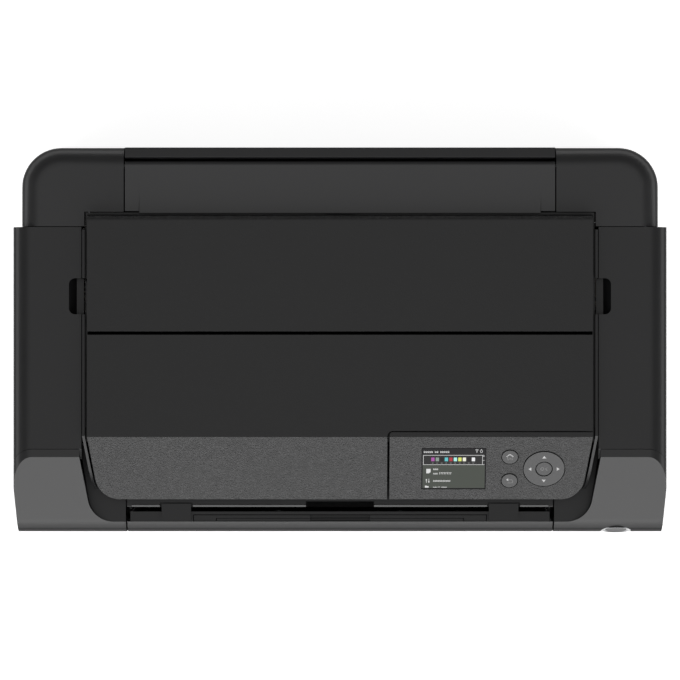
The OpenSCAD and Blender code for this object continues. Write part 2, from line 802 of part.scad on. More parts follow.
// ---------------------------------------------------------------- paper drive
module pickup_roller() {
    color([0.25, 0.25, 0.26]) rod_x(-208.8, 208.8, pickup_y, pickup_z, 3);
    color([0.1, 0.1, 0.1]) for (x = [-58, 30]) rod_x(x, x + 28, pickup_y, pickup_z, 10.5);
}

module feed_roller() {
    color([0.55, 0.55, 0.56]) {
        rod_x(-195, 155, feed_y, feed_z, feed_r);
        rod_x(gear_x0 - 2, plate_right_x + 4, feed_y, feed_z, 4);
    }
}

module gear_at(teeth, y, z, turn, bore) {
    difference() {
        along_x(gear_x0, gear_x1) translate([y, z]) rotate(turn) gear_outline(teeth);
        rod_x(gear_x0 - 1, gear_x1 + 1, y, z, bore);
    }
}

function feed_turn() = 180;
function idler_turn() = mesh_turn(180, feed_turn(), feed_teeth, idler_teeth);
function exit_turn() = mesh_turn(180, idler_turn(), idler_teeth, feed_teeth);
function pinion_turn() = mesh_turn(motor_angle, feed_turn(), feed_teeth, pinion_teeth);

module feed_gear() { color([0.85, 0.85, 0.82]) gear_at(feed_teeth, feed_y, feed_z, feed_turn(), 4); }

module idler_gear() {
    color([0.85, 0.85, 0.82]) gear_at(idler_teeth, idler_y, feed_z, idler_turn(), 3.05);
}

module feed_motor_pinion() {
    color([0.8, 0.68, 0.35]) {
        gear_at(pinion_teeth, motor_y, motor_z, pinion_turn(), 1.5);
        rod_x(-262, -236, motor_y, motor_z, 1.5);
    }
}

module feed_motor() {
    color([0.5, 0.5, 0.52]) difference() {
        union() {
            rod_x(-243.5, -212, motor_y, motor_z, 17.5);
            rod_x(-244.3, -243.4, motor_y, motor_z, 5);
        }
        rod_x(-250, -230, motor_y, motor_z, 1.55);
    }
}

module pinch_rollers() {
    color([0.3, 0.3, 0.3]) {
        for (x = [-175 : 70 : 105]) rod_x(x, x + 52, feed_y, pinch_z, pinch_r);
        rod_x(-180, 170, feed_y, pinch_z, 1);
    }
}

module platen() {
    color([0.08, 0.08, 0.08]) {
        difference() {
            box(-190, 150, 14, 103, 84, 93.5);
            box(-186, 146, 40, 92, 89, 94);
            box(-191, 151, 98, 104, 92, 94);
        }
        for (x = [-188, 144]) box(x, x + 4, 20, 90, foot_h + 3, 84.01);
        for (x = [-180 : 22 : 128]) {
            box(x, x + 2, 15, 39.9, 93.49, 95);
            box(x, x + 2, 40, 91.9, 88.9, 95);
            box(x, x + 2, 92, 97.9, 93.49, 95);
        }
    }
}

module exit_roller() {
    color([0.2, 0.2, 0.2]) {
        rod_x(gear_x0 - 2, plate_right_x + 4, exit_y, feed_z, 3);
        for (x = [-165 : 60 : 135]) rod_x(x, x + 30, exit_y, feed_z, exit_r);
    }
    color([0.85, 0.85, 0.82]) gear_at(feed_teeth, exit_y, feed_z, exit_turn(), 2.9);
}

// Thin toothed wheels that hold the sheet down on the exit roller.
module star_wheels() {
    points = 18;
    color([0.6, 0.6, 0.6]) {
        for (x = [-150 : 60 : 150], dx = [-6, 6]) along_x(x + dx - 0.2, x + dx + 0.2) translate([exit_y, star_z])
            polygon([for (i = [0 : 2 * points - 1]) let (r = i % 2 == 0 ? star_r : star_r - 1.1)
                [r * cos(i * 180 / points), r * sin(i * 180 / points)]]);
        for (x = [-150 : 60 : 150]) rod_x(x - 13.5, x + 13.5, exit_y, star_z, 1.4);
    }
}

module exit_guide() {
    module run(t, lift) {
        polygon([[-5, 84 + lift], [-160, 62 + lift], [-160, 62 + lift - t], [-5, 84 + lift - t]]);
    }
    color([0.12, 0.12, 0.125]) {
        along_x(-206, 206) run(2.5, 0);
        for (x = [-190 : 38 : 190]) along_x(x - 1, x + 1) run(2.2, 2);
    }
}

// ---------------------------------------------------------------- chassis and carriage
module chassis() {
    inner_x = plate_left_x + plate_t;
    module plate_outline() {
        difference() {
            rect(-10, 150, foot_h + 3, deck_z - 4);
            rect(40, 100, 30, 55);
        }
    }
    color([0.62, 0.63, 0.65]) {
        difference() {
            along_x(plate_left_x, inner_x) plate_outline();
            rod_x(-250, -240, feed_y, feed_z, 4.06);
            rod_x(-250, -240, exit_y, feed_z, 3.06);
            rod_x(-250, -240, motor_y, motor_z, 3);
        }
        rod_x(-258, plate_left_x + 0.01, idler_y, feed_z, 3);
        difference() {
            along_x(plate_right_x, plate_right_x + plate_t) plate_outline();
            rod_x(290, 310, feed_y, feed_z, 4.06);
            rod_x(290, 310, exit_y, feed_z, 3.06);
        }
        box(inner_x - 0.01, plate_right_x + 0.01, 4, 5.5, 140, 170);
        box(inner_x - 0.01, plate_right_x + 0.01, -6, 4.01, 168.5, 170);
        box(inner_x - 0.01, plate_right_x + 0.01, -7.5, -6, 160, 170);
    }
}

module carriage_shaft() {
    color([0.78, 0.78, 0.8]) rod_x(plate_left_x + plate_t, plate_right_x, shaft_y, shaft_z, shaft_r);
}

function tank_x(i) = carriage_x + (i - (tank_count - 1) / 2) * tank_pitch;

module carriage() {
    x0 = carriage_x - carriage_half;
    x1 = carriage_x + carriage_half;
    color([0.1, 0.1, 0.1]) {
        difference() {
            box(x0, x1, 14, 106, 99, 150);
            box(x0 + 2.4, x1 - 2.4, 17, 103, 103, 160);
        }
        box(x0, x1, 103, 106, 149.99, 166);
        for (i = [1 : tank_count - 1]) box(tank_x(i) - tank_pitch / 2 - 0.5, tank_x(i) - tank_pitch / 2 + 0.5,
            16.9, 40, 102.9, 116);
        for (x = [carriage_x - 58, carriage_x + 42]) difference() {
            box(x, x + 16, 105.9, 127, 115, 135);
            rod_x(x - 1, x + 17, shaft_y, shaft_z, shaft_r + 0.06);
        }
        difference() {
            box(carriage_x - 14, carriage_x + 14, 105.9, 131, 136, 146.5);
            box(carriage_x - 15, carriage_x + 15, 126.7, 128.7, belt_z - 0.3, 150);
        }
        for (x = [carriage_x - 50, carriage_x + 30]) box(x, x + 20, 6, 14.1, 142, 149);
    }
}

module print_head() {
    color([0.3, 0.3, 0.32]) {
        box(carriage_x - 48, carriage_x + 48, 44, 96, 97.6, 99);
        for (x = [-36, 0, 36]) box(carriage_x + x - 8, carriage_x + x + 8, 50, 90, 96.7, 97.61);
    }
}

module ink_tanks() {
    color([0.09, 0.09, 0.095]) for (i = [0 : tank_count - 1]) {
        x = tank_x(i);
        difference() {
            box(x - 6, x + 6, 20, 100, 116.2, 168);
            box(x - 7, x + 7, 19, 30, 160, 169);
        }
        box(x - 6, x + 6, 41, 100, 103.4, 116.21);
        box(x - 4, x + 4, 19, 20.01, 125, 158);
        box(x - 4, x + 4, 21, 22.5, 159.9, 165);
    }
}

module encoder_strip() {
    color([0.6, 0.6, 0.58]) box(plate_left_x + plate_t, plate_right_x, 123.4, 123.8, 150, 160);
}

module drive_belt() {
    inner = pulley_r + 0.1;
    outer = inner + 1.4;
    module loop(r) {
        rect(pulley_left_x, pulley_right_x, belt_y - r, belt_y + r);
        for (x = [pulley_left_x, pulley_right_x]) translate([x, belt_y]) circle(r);
    }
    color([0.07, 0.07, 0.07]) along_z(belt_z, belt_z + 6) difference() {
        loop(outer);
        loop(inner);
    }
}

module carriage_motor() {
    color([0.5, 0.5, 0.52]) difference() {
        union() {
            rod_z(80.5, 113, pulley_left_x, belt_y, 16.5);
            rod_z(112.9, 114.5, pulley_left_x, belt_y, 5);
        }
        rod_z(98, 120, pulley_left_x, belt_y, 1.55);
    }
}

module pulley(x, stem) {
    rod_z(belt_z - 0.9, belt_z + 6.9, x, belt_y, pulley_r);
    rod_z(belt_z - 1.7, belt_z - 0.3, x, belt_y, pulley_r + 2.2);
    rod_z(belt_z + 6.3, belt_z + 7.7, x, belt_y, pulley_r + 2.2);
    rod_z(belt_z - stem, belt_z + 9, x, belt_y, 1.5);
}

module motor_pulley() { color([0.75, 0.75, 0.72]) pulley(pulley_left_x, 39); }
module idler_pulley() { color([0.75, 0.75, 0.72]) pulley(pulley_right_x, 4); }

// Maintenance station under the parked carriage.
module purge_base() {
    color([0.16, 0.16, 0.165]) difference() {
        box(154, 290, 34, 102, foot_h + 3, 84);
        box(157, 172, 37, 99, 74, 85);
        box(174.5, 287, 37, 99, 74, 85);
    }
}

module cap_holder() {
    color([0.3, 0.3, 0.31]) box(carriage_x - 46, carriage_x + 46, 46, 94, 80, 90);
    color([0.12, 0.12, 0.12]) for (x = [-36, 0, 36]) difference() {
        box(carriage_x + x - 11, carriage_x + x + 11, 48, 92, 89.99, 96.3);
        box(carriage_x + x - 9, carriage_x + x + 9, 50, 90, 92, 97);
    }
}

module wiper() {
    color([0.3, 0.3, 0.31]) box(158, 171, 84, 98, 75, 88);
    color([0.1, 0.1, 0.1]) box(159.5, 169.5, 90.4, 91.6, 87.99, 96.4);
}

// ---------------------------------------------------------------- electronics
module main_board() {
    color([0.05, 0.3, 0.12]) box(-298, -214, 158, 159.6, 40, 150);
    color([0.12, 0.12, 0.12]) {
        box(-290, -262, 154.5, 158.01, 110, 138);
        box(-252, -236, 155.5, 158.01, 118, 134);
        for (x = [-290 : 12 : -266]) box(x, x + 8, 152, 158.01, 50, 58);
    }
}

module power_supply() {
    color([0.55, 0.56, 0.58]) difference() {
        box(220, 288, 118, 172, foot_h + 3, 72);
        for (i = [0 : 5]) box(225 + i * 10, 230 + i * 10, 124, 164, 71, 73);
    }
}

// Mains inlet and data sockets, seen in the back wall.
module rear_connectors() {
    color([0.08, 0.08, 0.08]) {
        difference() {
            box(238, 262, 176.2, 188.6, 44.5, 61.5);
            box(240, 260, 179.5, 190, 46.5, 59.5);
        }
        for (x = [245.5, 254.5]) rod_y(179.4, 186, x, 53, 1.2);
    }
    color([0.7, 0.7, 0.7]) {
        difference() {
            box(-245.5, -231.5, 159.61, 188.6, 69.5, 81.5);
            box(-243.8, -233.2, 177, 190, 71.2, 79.8);
        }
        difference() {
            box(-262.5, -247.5, 159.61, 188.6, 99.5, 113.5);
            box(-260.8, -249.2, 175, 190, 101.2, 111.8);
        }
    }
}

// ---------------------------------------------------------------- output tray
// Shell of the tray: it closes the front, and swings down on two pins.
module output_tray() {
    t = 3;
    top = 90 + slope;
    inner = tray_half - t;
    module wedge(r, half) {
        intersection() {
            translate([-half, arc_y, arc_z]) rotate([90, 0, 90]) rotate([0, 0, top])
                rotate_extrude(angle = 90 - slope) square([r, 2 * half]);
            box(-half, half, front_y - 1, tray_lip_y, arc_z, 170);
        }
    }
    color([0.3, 0.3, 0.305]) {
        difference() {
            union() {
                box(-tray_half, tray_half, front_y, tray_lip_y, 15, arc_z);
                wedge(lip_r, tray_half);
            }
            box(-inner, inner, front_y + t, tray_lip_y + 1, 15 + t, arc_z);
            wedge(lip_r - t, inner);
        }
        both_sides() box(inner, tray_half, tray_lip_y - 0.01, -170, 16, 28);
        both_sides() rod_x(inner, 221, tray_hinge_y, tray_hinge_z, 2.5);
    }
}

// Inner face of the tray, with two tabs that close over the frame's beam.
module tray_liner() {
    back = -167.6;
    color([0.12, 0.12, 0.125]) {
        box(-206.3, 206.3, back - 2.9, back, 24, 149);
        both_sides() box(extension_half + 0.6, 206.3, tray_lip_y + 0.2, back - 2.89, 24, 149);
        both_sides() box(146.5, 175.5, back - 8.9, -159.7, 148.99, 151.4);
        both_sides() box(150, 172, -162.6, -159.7, 147.6, 149.2);
    }
}

module tray_extension() {
    color([0.13, 0.13, 0.135]) difference() {
        box(-extension_half, extension_half, tray_lip_y + 0.4, -171, 32, 148.8);
        box(-122, 122, tray_lip_y, -174, 38, 150);
        box(-29, 29, -180, -170, 145, 150);
    }
}

module tray_end_extension() {
    color([0.14, 0.14, 0.145]) difference() {
        box(-121.4, 121.4, tray_lip_y + 0.5, -174.3, 40, 148.8);
        box(-29, 29, -180, -170, 145, 150);
    }
}

base_pan();
rubber_feet();
left_side_cover();
right_side_cover();
front_left_corner();
front_right_corner();
rear_cover();
case_screws();
front_frame();
access_frame();
front_top_panel();
operation_panel();
lcd_window();
lcd_module();
panel_board();
home_button();
back_button();
four_way_ring();
ok_button();
power_button_ring();
power_button();
top_cover();
rear_tray_cover();
rear_tray();
paper_support();
paper_support_extension();
left_paper_guide();
right_paper_guide();
guide_pinion();
pickup_roller();
feed_roller();
feed_gear();
idler_gear();
feed_motor();
feed_motor_pinion();
pinch_rollers();
platen();
exit_roller();
star_wheels();
exit_guide();
chassis();
carriage_shaft();
carriage();
print_head();
ink_tanks();
encoder_strip();
drive_belt();
carriage_motor();
motor_pulley();
idler_pulley();
purge_base();
cap_holder();
wiper();
main_board();
power_supply();
rear_connectors();
output_tray();
tray_liner();
tray_extension();
tray_end_extension();
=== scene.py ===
import bpy, bmesh, json, math
from mathutils import Matrix, Vector


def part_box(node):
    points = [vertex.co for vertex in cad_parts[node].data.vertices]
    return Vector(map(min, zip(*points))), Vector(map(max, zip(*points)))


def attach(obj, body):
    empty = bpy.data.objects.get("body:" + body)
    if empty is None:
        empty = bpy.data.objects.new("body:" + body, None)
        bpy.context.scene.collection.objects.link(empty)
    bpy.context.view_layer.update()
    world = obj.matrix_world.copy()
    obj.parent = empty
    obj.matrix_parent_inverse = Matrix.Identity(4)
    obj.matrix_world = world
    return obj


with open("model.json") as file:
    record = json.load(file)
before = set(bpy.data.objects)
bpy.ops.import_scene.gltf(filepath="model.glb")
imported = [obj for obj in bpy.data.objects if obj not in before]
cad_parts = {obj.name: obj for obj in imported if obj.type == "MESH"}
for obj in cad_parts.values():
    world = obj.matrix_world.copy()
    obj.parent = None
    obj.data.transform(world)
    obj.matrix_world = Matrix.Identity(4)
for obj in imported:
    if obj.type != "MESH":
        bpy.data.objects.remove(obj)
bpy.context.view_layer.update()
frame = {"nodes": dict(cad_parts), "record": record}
nodes = frame["nodes"]
scene = bpy.context.scene
MM = 0.001
SHARP = math.radians(28)  # faces that meet at more than this keep a visible edge

# ------------------------------------------------------------------ camera
cam_data = bpy.data.cameras.new("camera")
cam = bpy.data.objects.new("camera", cam_data)
scene.collection.objects.link(cam)
scene.camera = cam
CAM_UP = 4.6  # metres above the level that VIEW_WIDTH is measured at
VIEW_LEVEL = 0.17
VIEW_WIDTH = 0.68 / 1.0203
SENSOR = 36.0
cam_data.sensor_width = SENSOR
cam_data.lens = SENSOR * CAM_UP / VIEW_WIDTH
cam.location = (0.0, 0.0013, VIEW_LEVEL + CAM_UP)
cam_data.clip_start = 0.5
cam_data.clip_end = 50


# ------------------------------------------------------------------ node helpers
class Graph:
    """A material's node tree with short calls for the nodes used here."""

    def __init__(self, name):
        self.mat = bpy.data.materials.new(name)
        self.mat.use_nodes = True
        self.tree = self.mat.node_tree
        self.bsdf = self.tree.nodes["Principled BSDF"]
        self.coords = self.add("ShaderNodeTexCoord").outputs["Object"]

    def add(self, kind, **props):
        node = self.tree.nodes.new(kind)
        for key, value in props.items():
            setattr(node, key, value)
        return node

    def link(self, a, b):
        self.tree.links.new(a, b)

    def put(self, socket, value):
        """Links a socket, or sets a colour or a number on it."""
        if hasattr(value, "is_linked"):
            self.link(value, socket)
        elif hasattr(value, "__len__"):
            socket.default_value = (*value[:3], 1.0)
        else:
            socket.default_value = value

    def noise(self, size, detail=3.0, rough=0.55, squeeze=(1, 1, 1)):
        """Noise with features about size metres across, drawn out by squeeze for brushed metal."""
        vec = self.coords
        if squeeze != (1, 1, 1):
            m = self.add("ShaderNodeMapping")
            m.inputs["Scale"].default_value = squeeze
            self.link(self.coords, m.inputs["Vector"])
            vec = m.outputs["Vector"]
        n = self.add("ShaderNodeTexNoise")
        self.link(vec, n.inputs["Vector"])
        n.inputs["Scale"].default_value = 1.0 / size
        n.inputs["Detail"].default_value = detail
        n.inputs["Roughness"].default_value = rough
        return n.outputs["Fac"]

    def cells(self, size, out="Distance", jitter=1.0):
        v = self.add("ShaderNodeTexVoronoi", feature="F1")
        self.link(self.coords, v.inputs["Vector"])
        v.inputs["Scale"].default_value = 1.0 / size
        v.inputs["Randomness"].default_value = jitter
        return v.outputs[out]

    def ramp(self, fac, lo, hi, a=0.0, b=1.0):
        """a up to lo, b from hi, and a straight line between them."""
        r = self.add("ShaderNodeMapRange", clamp=True)
        self.link(fac, r.inputs["Value"])
        for key, value in (("From Min", lo), ("From Max", hi), ("To Min", a), ("To Max", b)):
            r.inputs[key].default_value = value
        return r.outputs["Result"]

    def math(self, op, a, b=0.0):
        m = self.add("ShaderNodeMath", operation=op)
        self.put(m.inputs[0], a)
        self.put(m.inputs[1], b)
        return m.outputs[0]

    def mix(self, fac, a, b):
        m = self.add("ShaderNodeMix", data_type="RGBA")
        self.put(m.inputs["Factor"], fac)
        self.put(m.inputs[6], a if hasattr(a, "is_linked") else (*a, 1.0))
        self.put(m.inputs[7], b if hasattr(b, "is_linked") else (*b, 1.0))
        return m.outputs[2]

    def bump(self, height, depth):
        b = self.add("ShaderNodeBump")
        b.inputs["Strength"].default_value = 1.0
        b.inputs["Distance"].default_value = depth
        self.link(height, b.inputs["Height"])
        return b.outputs["Normal"]

    def edges(self, radius):
        """1 on sharp outer edges and in corners, 0 on flat faces."""
        bev = self.add("ShaderNodeBevel", samples=4)
        bev.inputs["Radius"].default_value = radius
        geo = self.add("ShaderNodeNewGeometry")
        dot = self.add("ShaderNodeVectorMath", operation="DOT_PRODUCT")
        self.link(bev.outputs["Normal"], dot.inputs[0])
        self.link(geo.outputs["Normal"], dot.inputs[1])
        return self.ramp(dot.outputs["Value"], 0.98, 0.80)

    def facet(self):
        """1 on the sloped facet in front, 0 on level faces."""
        geo = self.add("ShaderNodeNewGeometry")
        split = self.add("ShaderNodeSeparateXYZ")
        self.link(geo.outputs["True Normal"], split.inputs[0])
        return self.ramp(split.outputs["Z"], 0.97, 0.90)

    def matt_edges(self, level):
        """A spark-eroded face loses its gloss where it turns away."""
        w = self.add("ShaderNodeLayerWeight")
        w.inputs["Blend"].default_value = 0.5
        self.link(self.ramp(w.outputs["Facing"], 0.31, 0.55, level, level * 0.04),
                  self.bsdf.inputs["Specular IOR Level"])

    def finish(self, colour, rough, normal=None, **consts):
        """Sets the shader's sockets and gives the material; a keyword's _ stands for a space."""
        self.put(self.bsdf.inputs["Base Color"], colour)
        self.put(self.bsdf.inputs["Roughness"], rough)
        if normal is not None:
            self.link(normal, self.bsdf.inputs["Normal"])
        for key, value in consts.items():
            self.bsdf.inputs[key.replace("_", " ")].default_value = value
        return self.mat


def scaled(colour, factor):
    return tuple(min(1.0, v * factor) for v in colour)


def plastic(name, rgb, rough, grain=0.00045, depth=0.00003, leather=0.0, mottle=0.10, wear=0.0,
            spec=0.5, coat=0.0, painted_glints=0.0):
    """Moulded plastic: spark grain, or on the sloped facet a leather-like grain with painted glints (light flecks for
    the front light's sparkle), faint flow mottling, and rubbed edges where wear isn't 0. Sizes and depths are in
    metres."""
    g = Graph(name)
    fine = g.noise(grain, 3.0, 0.6)
    broad = g.noise(0.035, 4.0, 0.6)
    height, facet = fine, None
    if leather:
        facet = g.facet()
        cell = g.cells(leather)
        pits = g.ramp(cell, 0.15, 0.75)
        lumps = g.noise(leather * 0.75, 2.0, 0.6)
        height = g.math("ADD", g.math("MULTIPLY", pits, 0.7), g.math("MULTIPLY", lumps, 1.6))
        height = g.math("MULTIPLY", height, g.ramp(facet, 0.0, 1.0, 0.22, 1.0))
    tone = g.math("ADD", g.math("MULTIPLY", fine, 0.5), g.math("MULTIPLY", broad, 0.5))
    colour = g.mix(g.ramp(tone, 0.3, 0.7), scaled(rgb, 1 - mottle), scaled(rgb, 1 + mottle))
    # Painted glints: lighter flecks in the colour, strongest on the sloped facet, where the front light sparkles.
    if painted_glints:
        dots = g.ramp(g.noise(0.0013, 2.0, 0.5), 0.46, 0.66)
        patches = g.ramp(g.noise(0.006, 2.0, 0.5), 0.35, 0.6)
        glint_flecks = g.math("MULTIPLY", dots, patches)
        glint_flecks = g.math("MULTIPLY", glint_flecks, g.ramp(facet, 0.0, 1.0, 0.06, 1.0))
        colour = g.mix(g.math("MULTIPLY", glint_flecks, painted_glints), colour, scaled(rgb, 4.2))
    shine = g.ramp(g.math("ADD", g.math("MULTIPLY", broad, 0.5), g.math("MULTIPLY", fine, 0.5)),
                   0.3, 0.7, rough - 0.025, rough + 0.025)
    if wear:
        rubbed = g.math("MULTIPLY", g.edges(0.0007), g.ramp(g.noise(0.006, 3.0, 0.7), 0.35, 0.75))
        rubbed = g.math("MULTIPLY", rubbed, wear)
        colour = g.mix(rubbed, colour, scaled(rgb, 2.2))
        shine = g.math("SUBTRACT", shine, g.math("MULTIPLY", rubbed, 0.15))
    if not coat:
        g.matt_edges(spec)
    return g.finish(colour, shine, g.bump(height, depth), Coat_Weight=coat, Coat_Roughness=0.12)


SPANGLE = 0.009  # size of the crystal patches on galvanised sheet


def metal(name, rgb, rough, brushed=(1, 1, 1), size=0.0006, depth=0.000008, spots=0.0, middle=None):
    """Metal with a brushed or ground direction, faint stains and uneven polish. spots gives it the patches of
    galvanised sheet. With middle, the X of a round part's middle, it has a painted reflection: dark there, painted
    highlights at its two sides."""
    g = Graph(name)
    lines = g.noise(size, 4.0, 0.65, brushed)
    stain = g.noise(0.02, 5.0, 0.65)
    colour = g.mix(g.ramp(stain, 0.3, 0.75), scaled(rgb, 0.86), rgb)
    if spots:
        spangle = g.cells(SPANGLE, "Color")
        sep = g.add("ShaderNodeSeparateColor")
        g.link(spangle, sep.inputs["Color"])
        colour = g.mix(g.ramp(sep.outputs[0], 0.0, 1.0, 0.0, spots), colour, scaled(rgb, 0.72))
    # Painted reflection: the colour is painted dark in the ring's middle and with bright painted highlights at its two
    # sides.
    if middle is not None:
        split = g.add("ShaderNodeSeparateXYZ")
        g.link(g.coords, split.inputs[0])
        glint_distance = g.math("ABSOLUTE", g.math("SUBTRACT", split.outputs["X"], middle))
        colour = g.mix(g.ramp(glint_distance, 0.0065, 0.0115), scaled(rgb, 0.2), scaled(rgb, 1.8))
    polish = g.math("ADD", g.math("MULTIPLY", lines, 0.6), g.math("MULTIPLY", stain, 0.4))
    shine = g.ramp(polish, 0.3, 0.7, rough - 0.07, rough + 0.09)
    return g.finish(colour, shine, g.bump(lines, depth), Metallic=1.0)


def rubber(name, rgb, rough=0.75, grain=0.0008):
    """Dull rubber or foam with lighter dust in places."""
    g = Graph(name)
    fine = g.noise(grain, 4.0, 0.7)
    dust = g.noise(0.012, 4.0, 0.6)
    colour = g.mix(g.ramp(dust, 0.35, 0.8), rgb, scaled(rgb, 1.7))
    return g.finish(colour, g.ramp(fine, 0.3, 0.7, rough - 0.06, rough + 0.1), g.bump(fine, 0.00005),
                    Specular_IOR_Level=0.35)


def board(name, rgb):
    """Solder mask with copper traces showing faintly through it."""
    g = Graph(name)
    blocks = g.add("ShaderNodeTexVoronoi", feature="F1", distance="CHEBYCHEV")
    g.link(g.coords, blocks.inputs["Vector"])
    blocks.inputs["Scale"].default_value = 260.0
    traces = g.ramp(blocks.outputs["Distance"], 0.32, 0.38)
    colour = g.mix(traces, scaled(rgb, 1.55), rgb)
    return g.finish(colour, g.ramp(g.noise(0.004), 0.3, 0.7, 0.22, 0.36), g.bump(traces, 0.00002),
                    Coat_Weight=0.4)


def glow(name, rgb, power, rough=0.25):
    """Lit pixels of the display under a glossy window."""
    g = Graph(name)
    pixels = g.cells(0.0003, jitter=0.0)
    shade = g.mix(g.ramp(pixels, 0.2, 0.7), rgb, scaled(rgb, 0.86))
    g.put(g.bsdf.inputs["Emission Color"], shade)
    return g.finish(scaled(rgb, 0.15), g.ramp(g.noise(0.002), 0.3, 0.7, rough - 0.03, rough + 0.03),
                    Emission_Strength=power, Specular_IOR_Level=0.05)


def paint(name, rgb, rough=0.5):
    """Printed ink: a slightly uneven film."""
    g = Graph(name)
    film = g.noise(0.0005, 3.0, 0.6)
    colour = g.mix(g.ramp(film, 0.3, 0.75), scaled(rgb, 0.9), rgb)
    return g.finish(colour, g.ramp(film, 0.3, 0.7, rough - 0.06, rough + 0.06), g.bump(film, 0.000006))


BLACK = (0.0125, 0.0125, 0.0130)
mats = {
    "cover_black": plastic("cover_black", BLACK, 0.36, 0.0005, 0.00002, wear=0.4),
    "panel_black": plastic("panel_black", (0.0100, 0.0100, 0.0103), 0.42, 0.0007, 0.00034,
                           leather=0.0017, wear=0.4, painted_glints=0.9),
    # The corner pieces' black is a little lighter: partly their own charcoal, partly painted light for the front light
    # their sloped faces catch.
    "corner_charcoal": plastic("corner_charcoal", (0.0170, 0.0170, 0.0175), 0.34, 0.0005, 0.000015, wear=0.4),
    "frame_black": plastic("frame_black", (0.0100, 0.0100, 0.0105), 0.42, 0.0006, 0.00002, wear=0.4),
    "inner_grey": plastic("inner_grey", (0.055, 0.055, 0.058), 0.55, 0.0006, 0.00002, wear=0.4),
    "gear_white": plastic("gear_white", (0.62, 0.61, 0.56), 0.38, 0.0006, 0.000015, mottle=0.04, wear=0.2),
    "key_black": plastic("key_black", (0.040, 0.040, 0.041), 0.38, 0.0004, 0.00001, wear=0.5),
    "foot_rubber": rubber("foot_rubber", (0.016, 0.016, 0.016)),
    "roller_rubber": rubber("roller_rubber", (0.022, 0.022, 0.023), 0.7, 0.0005),
    "display_window": plastic("display_window", (0.004, 0.004, 0.005), 0.15, 0.002, 0.000002, spec=0.1),
    "display_module": plastic("display_module", (0.10, 0.11, 0.10), 0.4, 0.001, 0.00001),
    # The power ring's colour holds a painted reflection: dark in its middle, painted highlights at its two sides.
    "ring_chrome": metal("ring_chrome", (0.15, 0.153, 0.157), 0.18, size=0.0008, depth=0.000003,
                         middle=sum(corner.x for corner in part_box("power_button_ring")) / 2),
    "power_cap": plastic("power_cap", (0.050, 0.050, 0.052), 0.32, 0.0005, 0.00001),
    "sheet_steel": metal("sheet_steel", (0.50, 0.51, 0.53), 0.38, (1, 1, 1), 0.001, 0.00001, 0.5),
    "shaft_steel": metal("shaft_steel", (0.66, 0.67, 0.69), 0.20, (40, 1, 1), 0.004, 0.000004),
    "roller_steel": metal("roller_steel", (0.33, 0.33, 0.35), 0.48, (1, 1, 1), 0.0005, 0.00003),
    "brass": metal("brass", (0.75, 0.55, 0.22), 0.28, (30, 1, 1), 0.003, 0.000004),
    "circuit_green": board("circuit_green", (0.010, 0.070, 0.030)),
    "supply_case": metal("supply_case", (0.52, 0.53, 0.55), 0.42, (1, 14, 1), 0.002, 0.00001, 0.3),
    "belt_rubber": rubber("belt_rubber", (0.014, 0.014, 0.014), 0.6),
    "strip_film": plastic("strip_film", (0.30, 0.30, 0.27), 0.2, 0.0006, 0.000003, coat=0.5),
    "screw_black": metal("screw_black", (0.05, 0.05, 0.052), 0.35, (1, 1, 1), 0.0006, 0.00001),
    "tank_black": plastic("tank_black", (0.016, 0.016, 0.017), 0.32, 0.0005, 0.00001, wear=0.4),
    "socket_metal": metal("socket_metal", (0.55, 0.56, 0.58), 0.32, (1, 1, 20), 0.002, 0.000006),
}
# Three covers whose black is a little lighter than their slot's.
tints = {
    "paper_support_extension": plastic("cover_black_strip", scaled(BLACK, 1.5), 0.36, 0.0005, 0.00002, spec=0.66),
    "rear_tray_cover": plastic("cover_black_lid", scaled(BLACK, 1.7), 0.34, 0.0005, 0.00002, wear=0.4, spec=0.72),
    "rear_cover": plastic("cover_black_rear", scaled(BLACK, 1.4), 0.36, 0.0005, 0.00002, wear=0.4, spec=0.56),
}
for sub in frame["record"]["subparts"]:
    o = nodes[sub["node"]]
    o.data.materials.clear()
    o.data.materials.append(tints.get(sub["node"], mats[sub["material_slot"]]))


# ------------------------------------------------------------------ edges of the CAD nodes
def smooth_group():
    """A modifier that drops stored normals and shades smooth except across sharp edges."""
    g = bpy.data.node_groups.new("soft_shading", "GeometryNodeTree")
    g.interface.new_socket("Geometry", in_out="INPUT", socket_type="NodeSocketGeometry")
    g.interface.new_socket("Geometry", in_out="OUTPUT", socket_type="NodeSocketGeometry")
    add, link = g.nodes.new, g.links.new
    start, end = add("NodeGroupInput"), add("NodeGroupOutput")
    plain = add("GeometryNodeRemoveAttribute")
    plain.inputs["Name"].default_value = "custom_normal"
    faces = add("GeometryNodeSetShadeSmooth")
    faces.domain = "FACE"
    edges = add("GeometryNodeSetShadeSmooth")
    edges.domain = "EDGE"
    edges.inputs["Shade Smooth"].default_value = False
    angle = add("GeometryNodeInputMeshEdgeAngle")
    sharp = add("FunctionNodeCompare")
    sharp.data_type, sharp.operation = "FLOAT", "GREATER_THAN"
    sharp.inputs[1].default_value = SHARP
    link(angle.outputs["Unsigned Angle"], sharp.inputs[0])
    link(start.outputs[0], plain.inputs["Geometry"])
    link(plain.outputs[0], faces.inputs["Geometry"])
    link(faces.outputs[0], edges.inputs["Geometry"])
    link(sharp.outputs[0], edges.inputs["Selection"])
    link(edges.outputs[0], end.inputs[0])
    return g


soft = smooth_group()
# Bevel widths by material slot, in millimetres.
PLAIN_BEVEL = 0.2
BEVEL = {"ring_chrome": 0.3, "gear_white": 0.1, "sheet_steel": 0.12, "shaft_steel": 0.15, "circuit_green": 0.1,
         "strip_film": 0.0, "display_window": 0.25, "socket_metal": 0.12, "brass": 0.08, "belt_rubber": 0.0,
         "cover_black": 0.45, "corner_charcoal": 0.45, "panel_black": 0.45, "frame_black": 0.3}


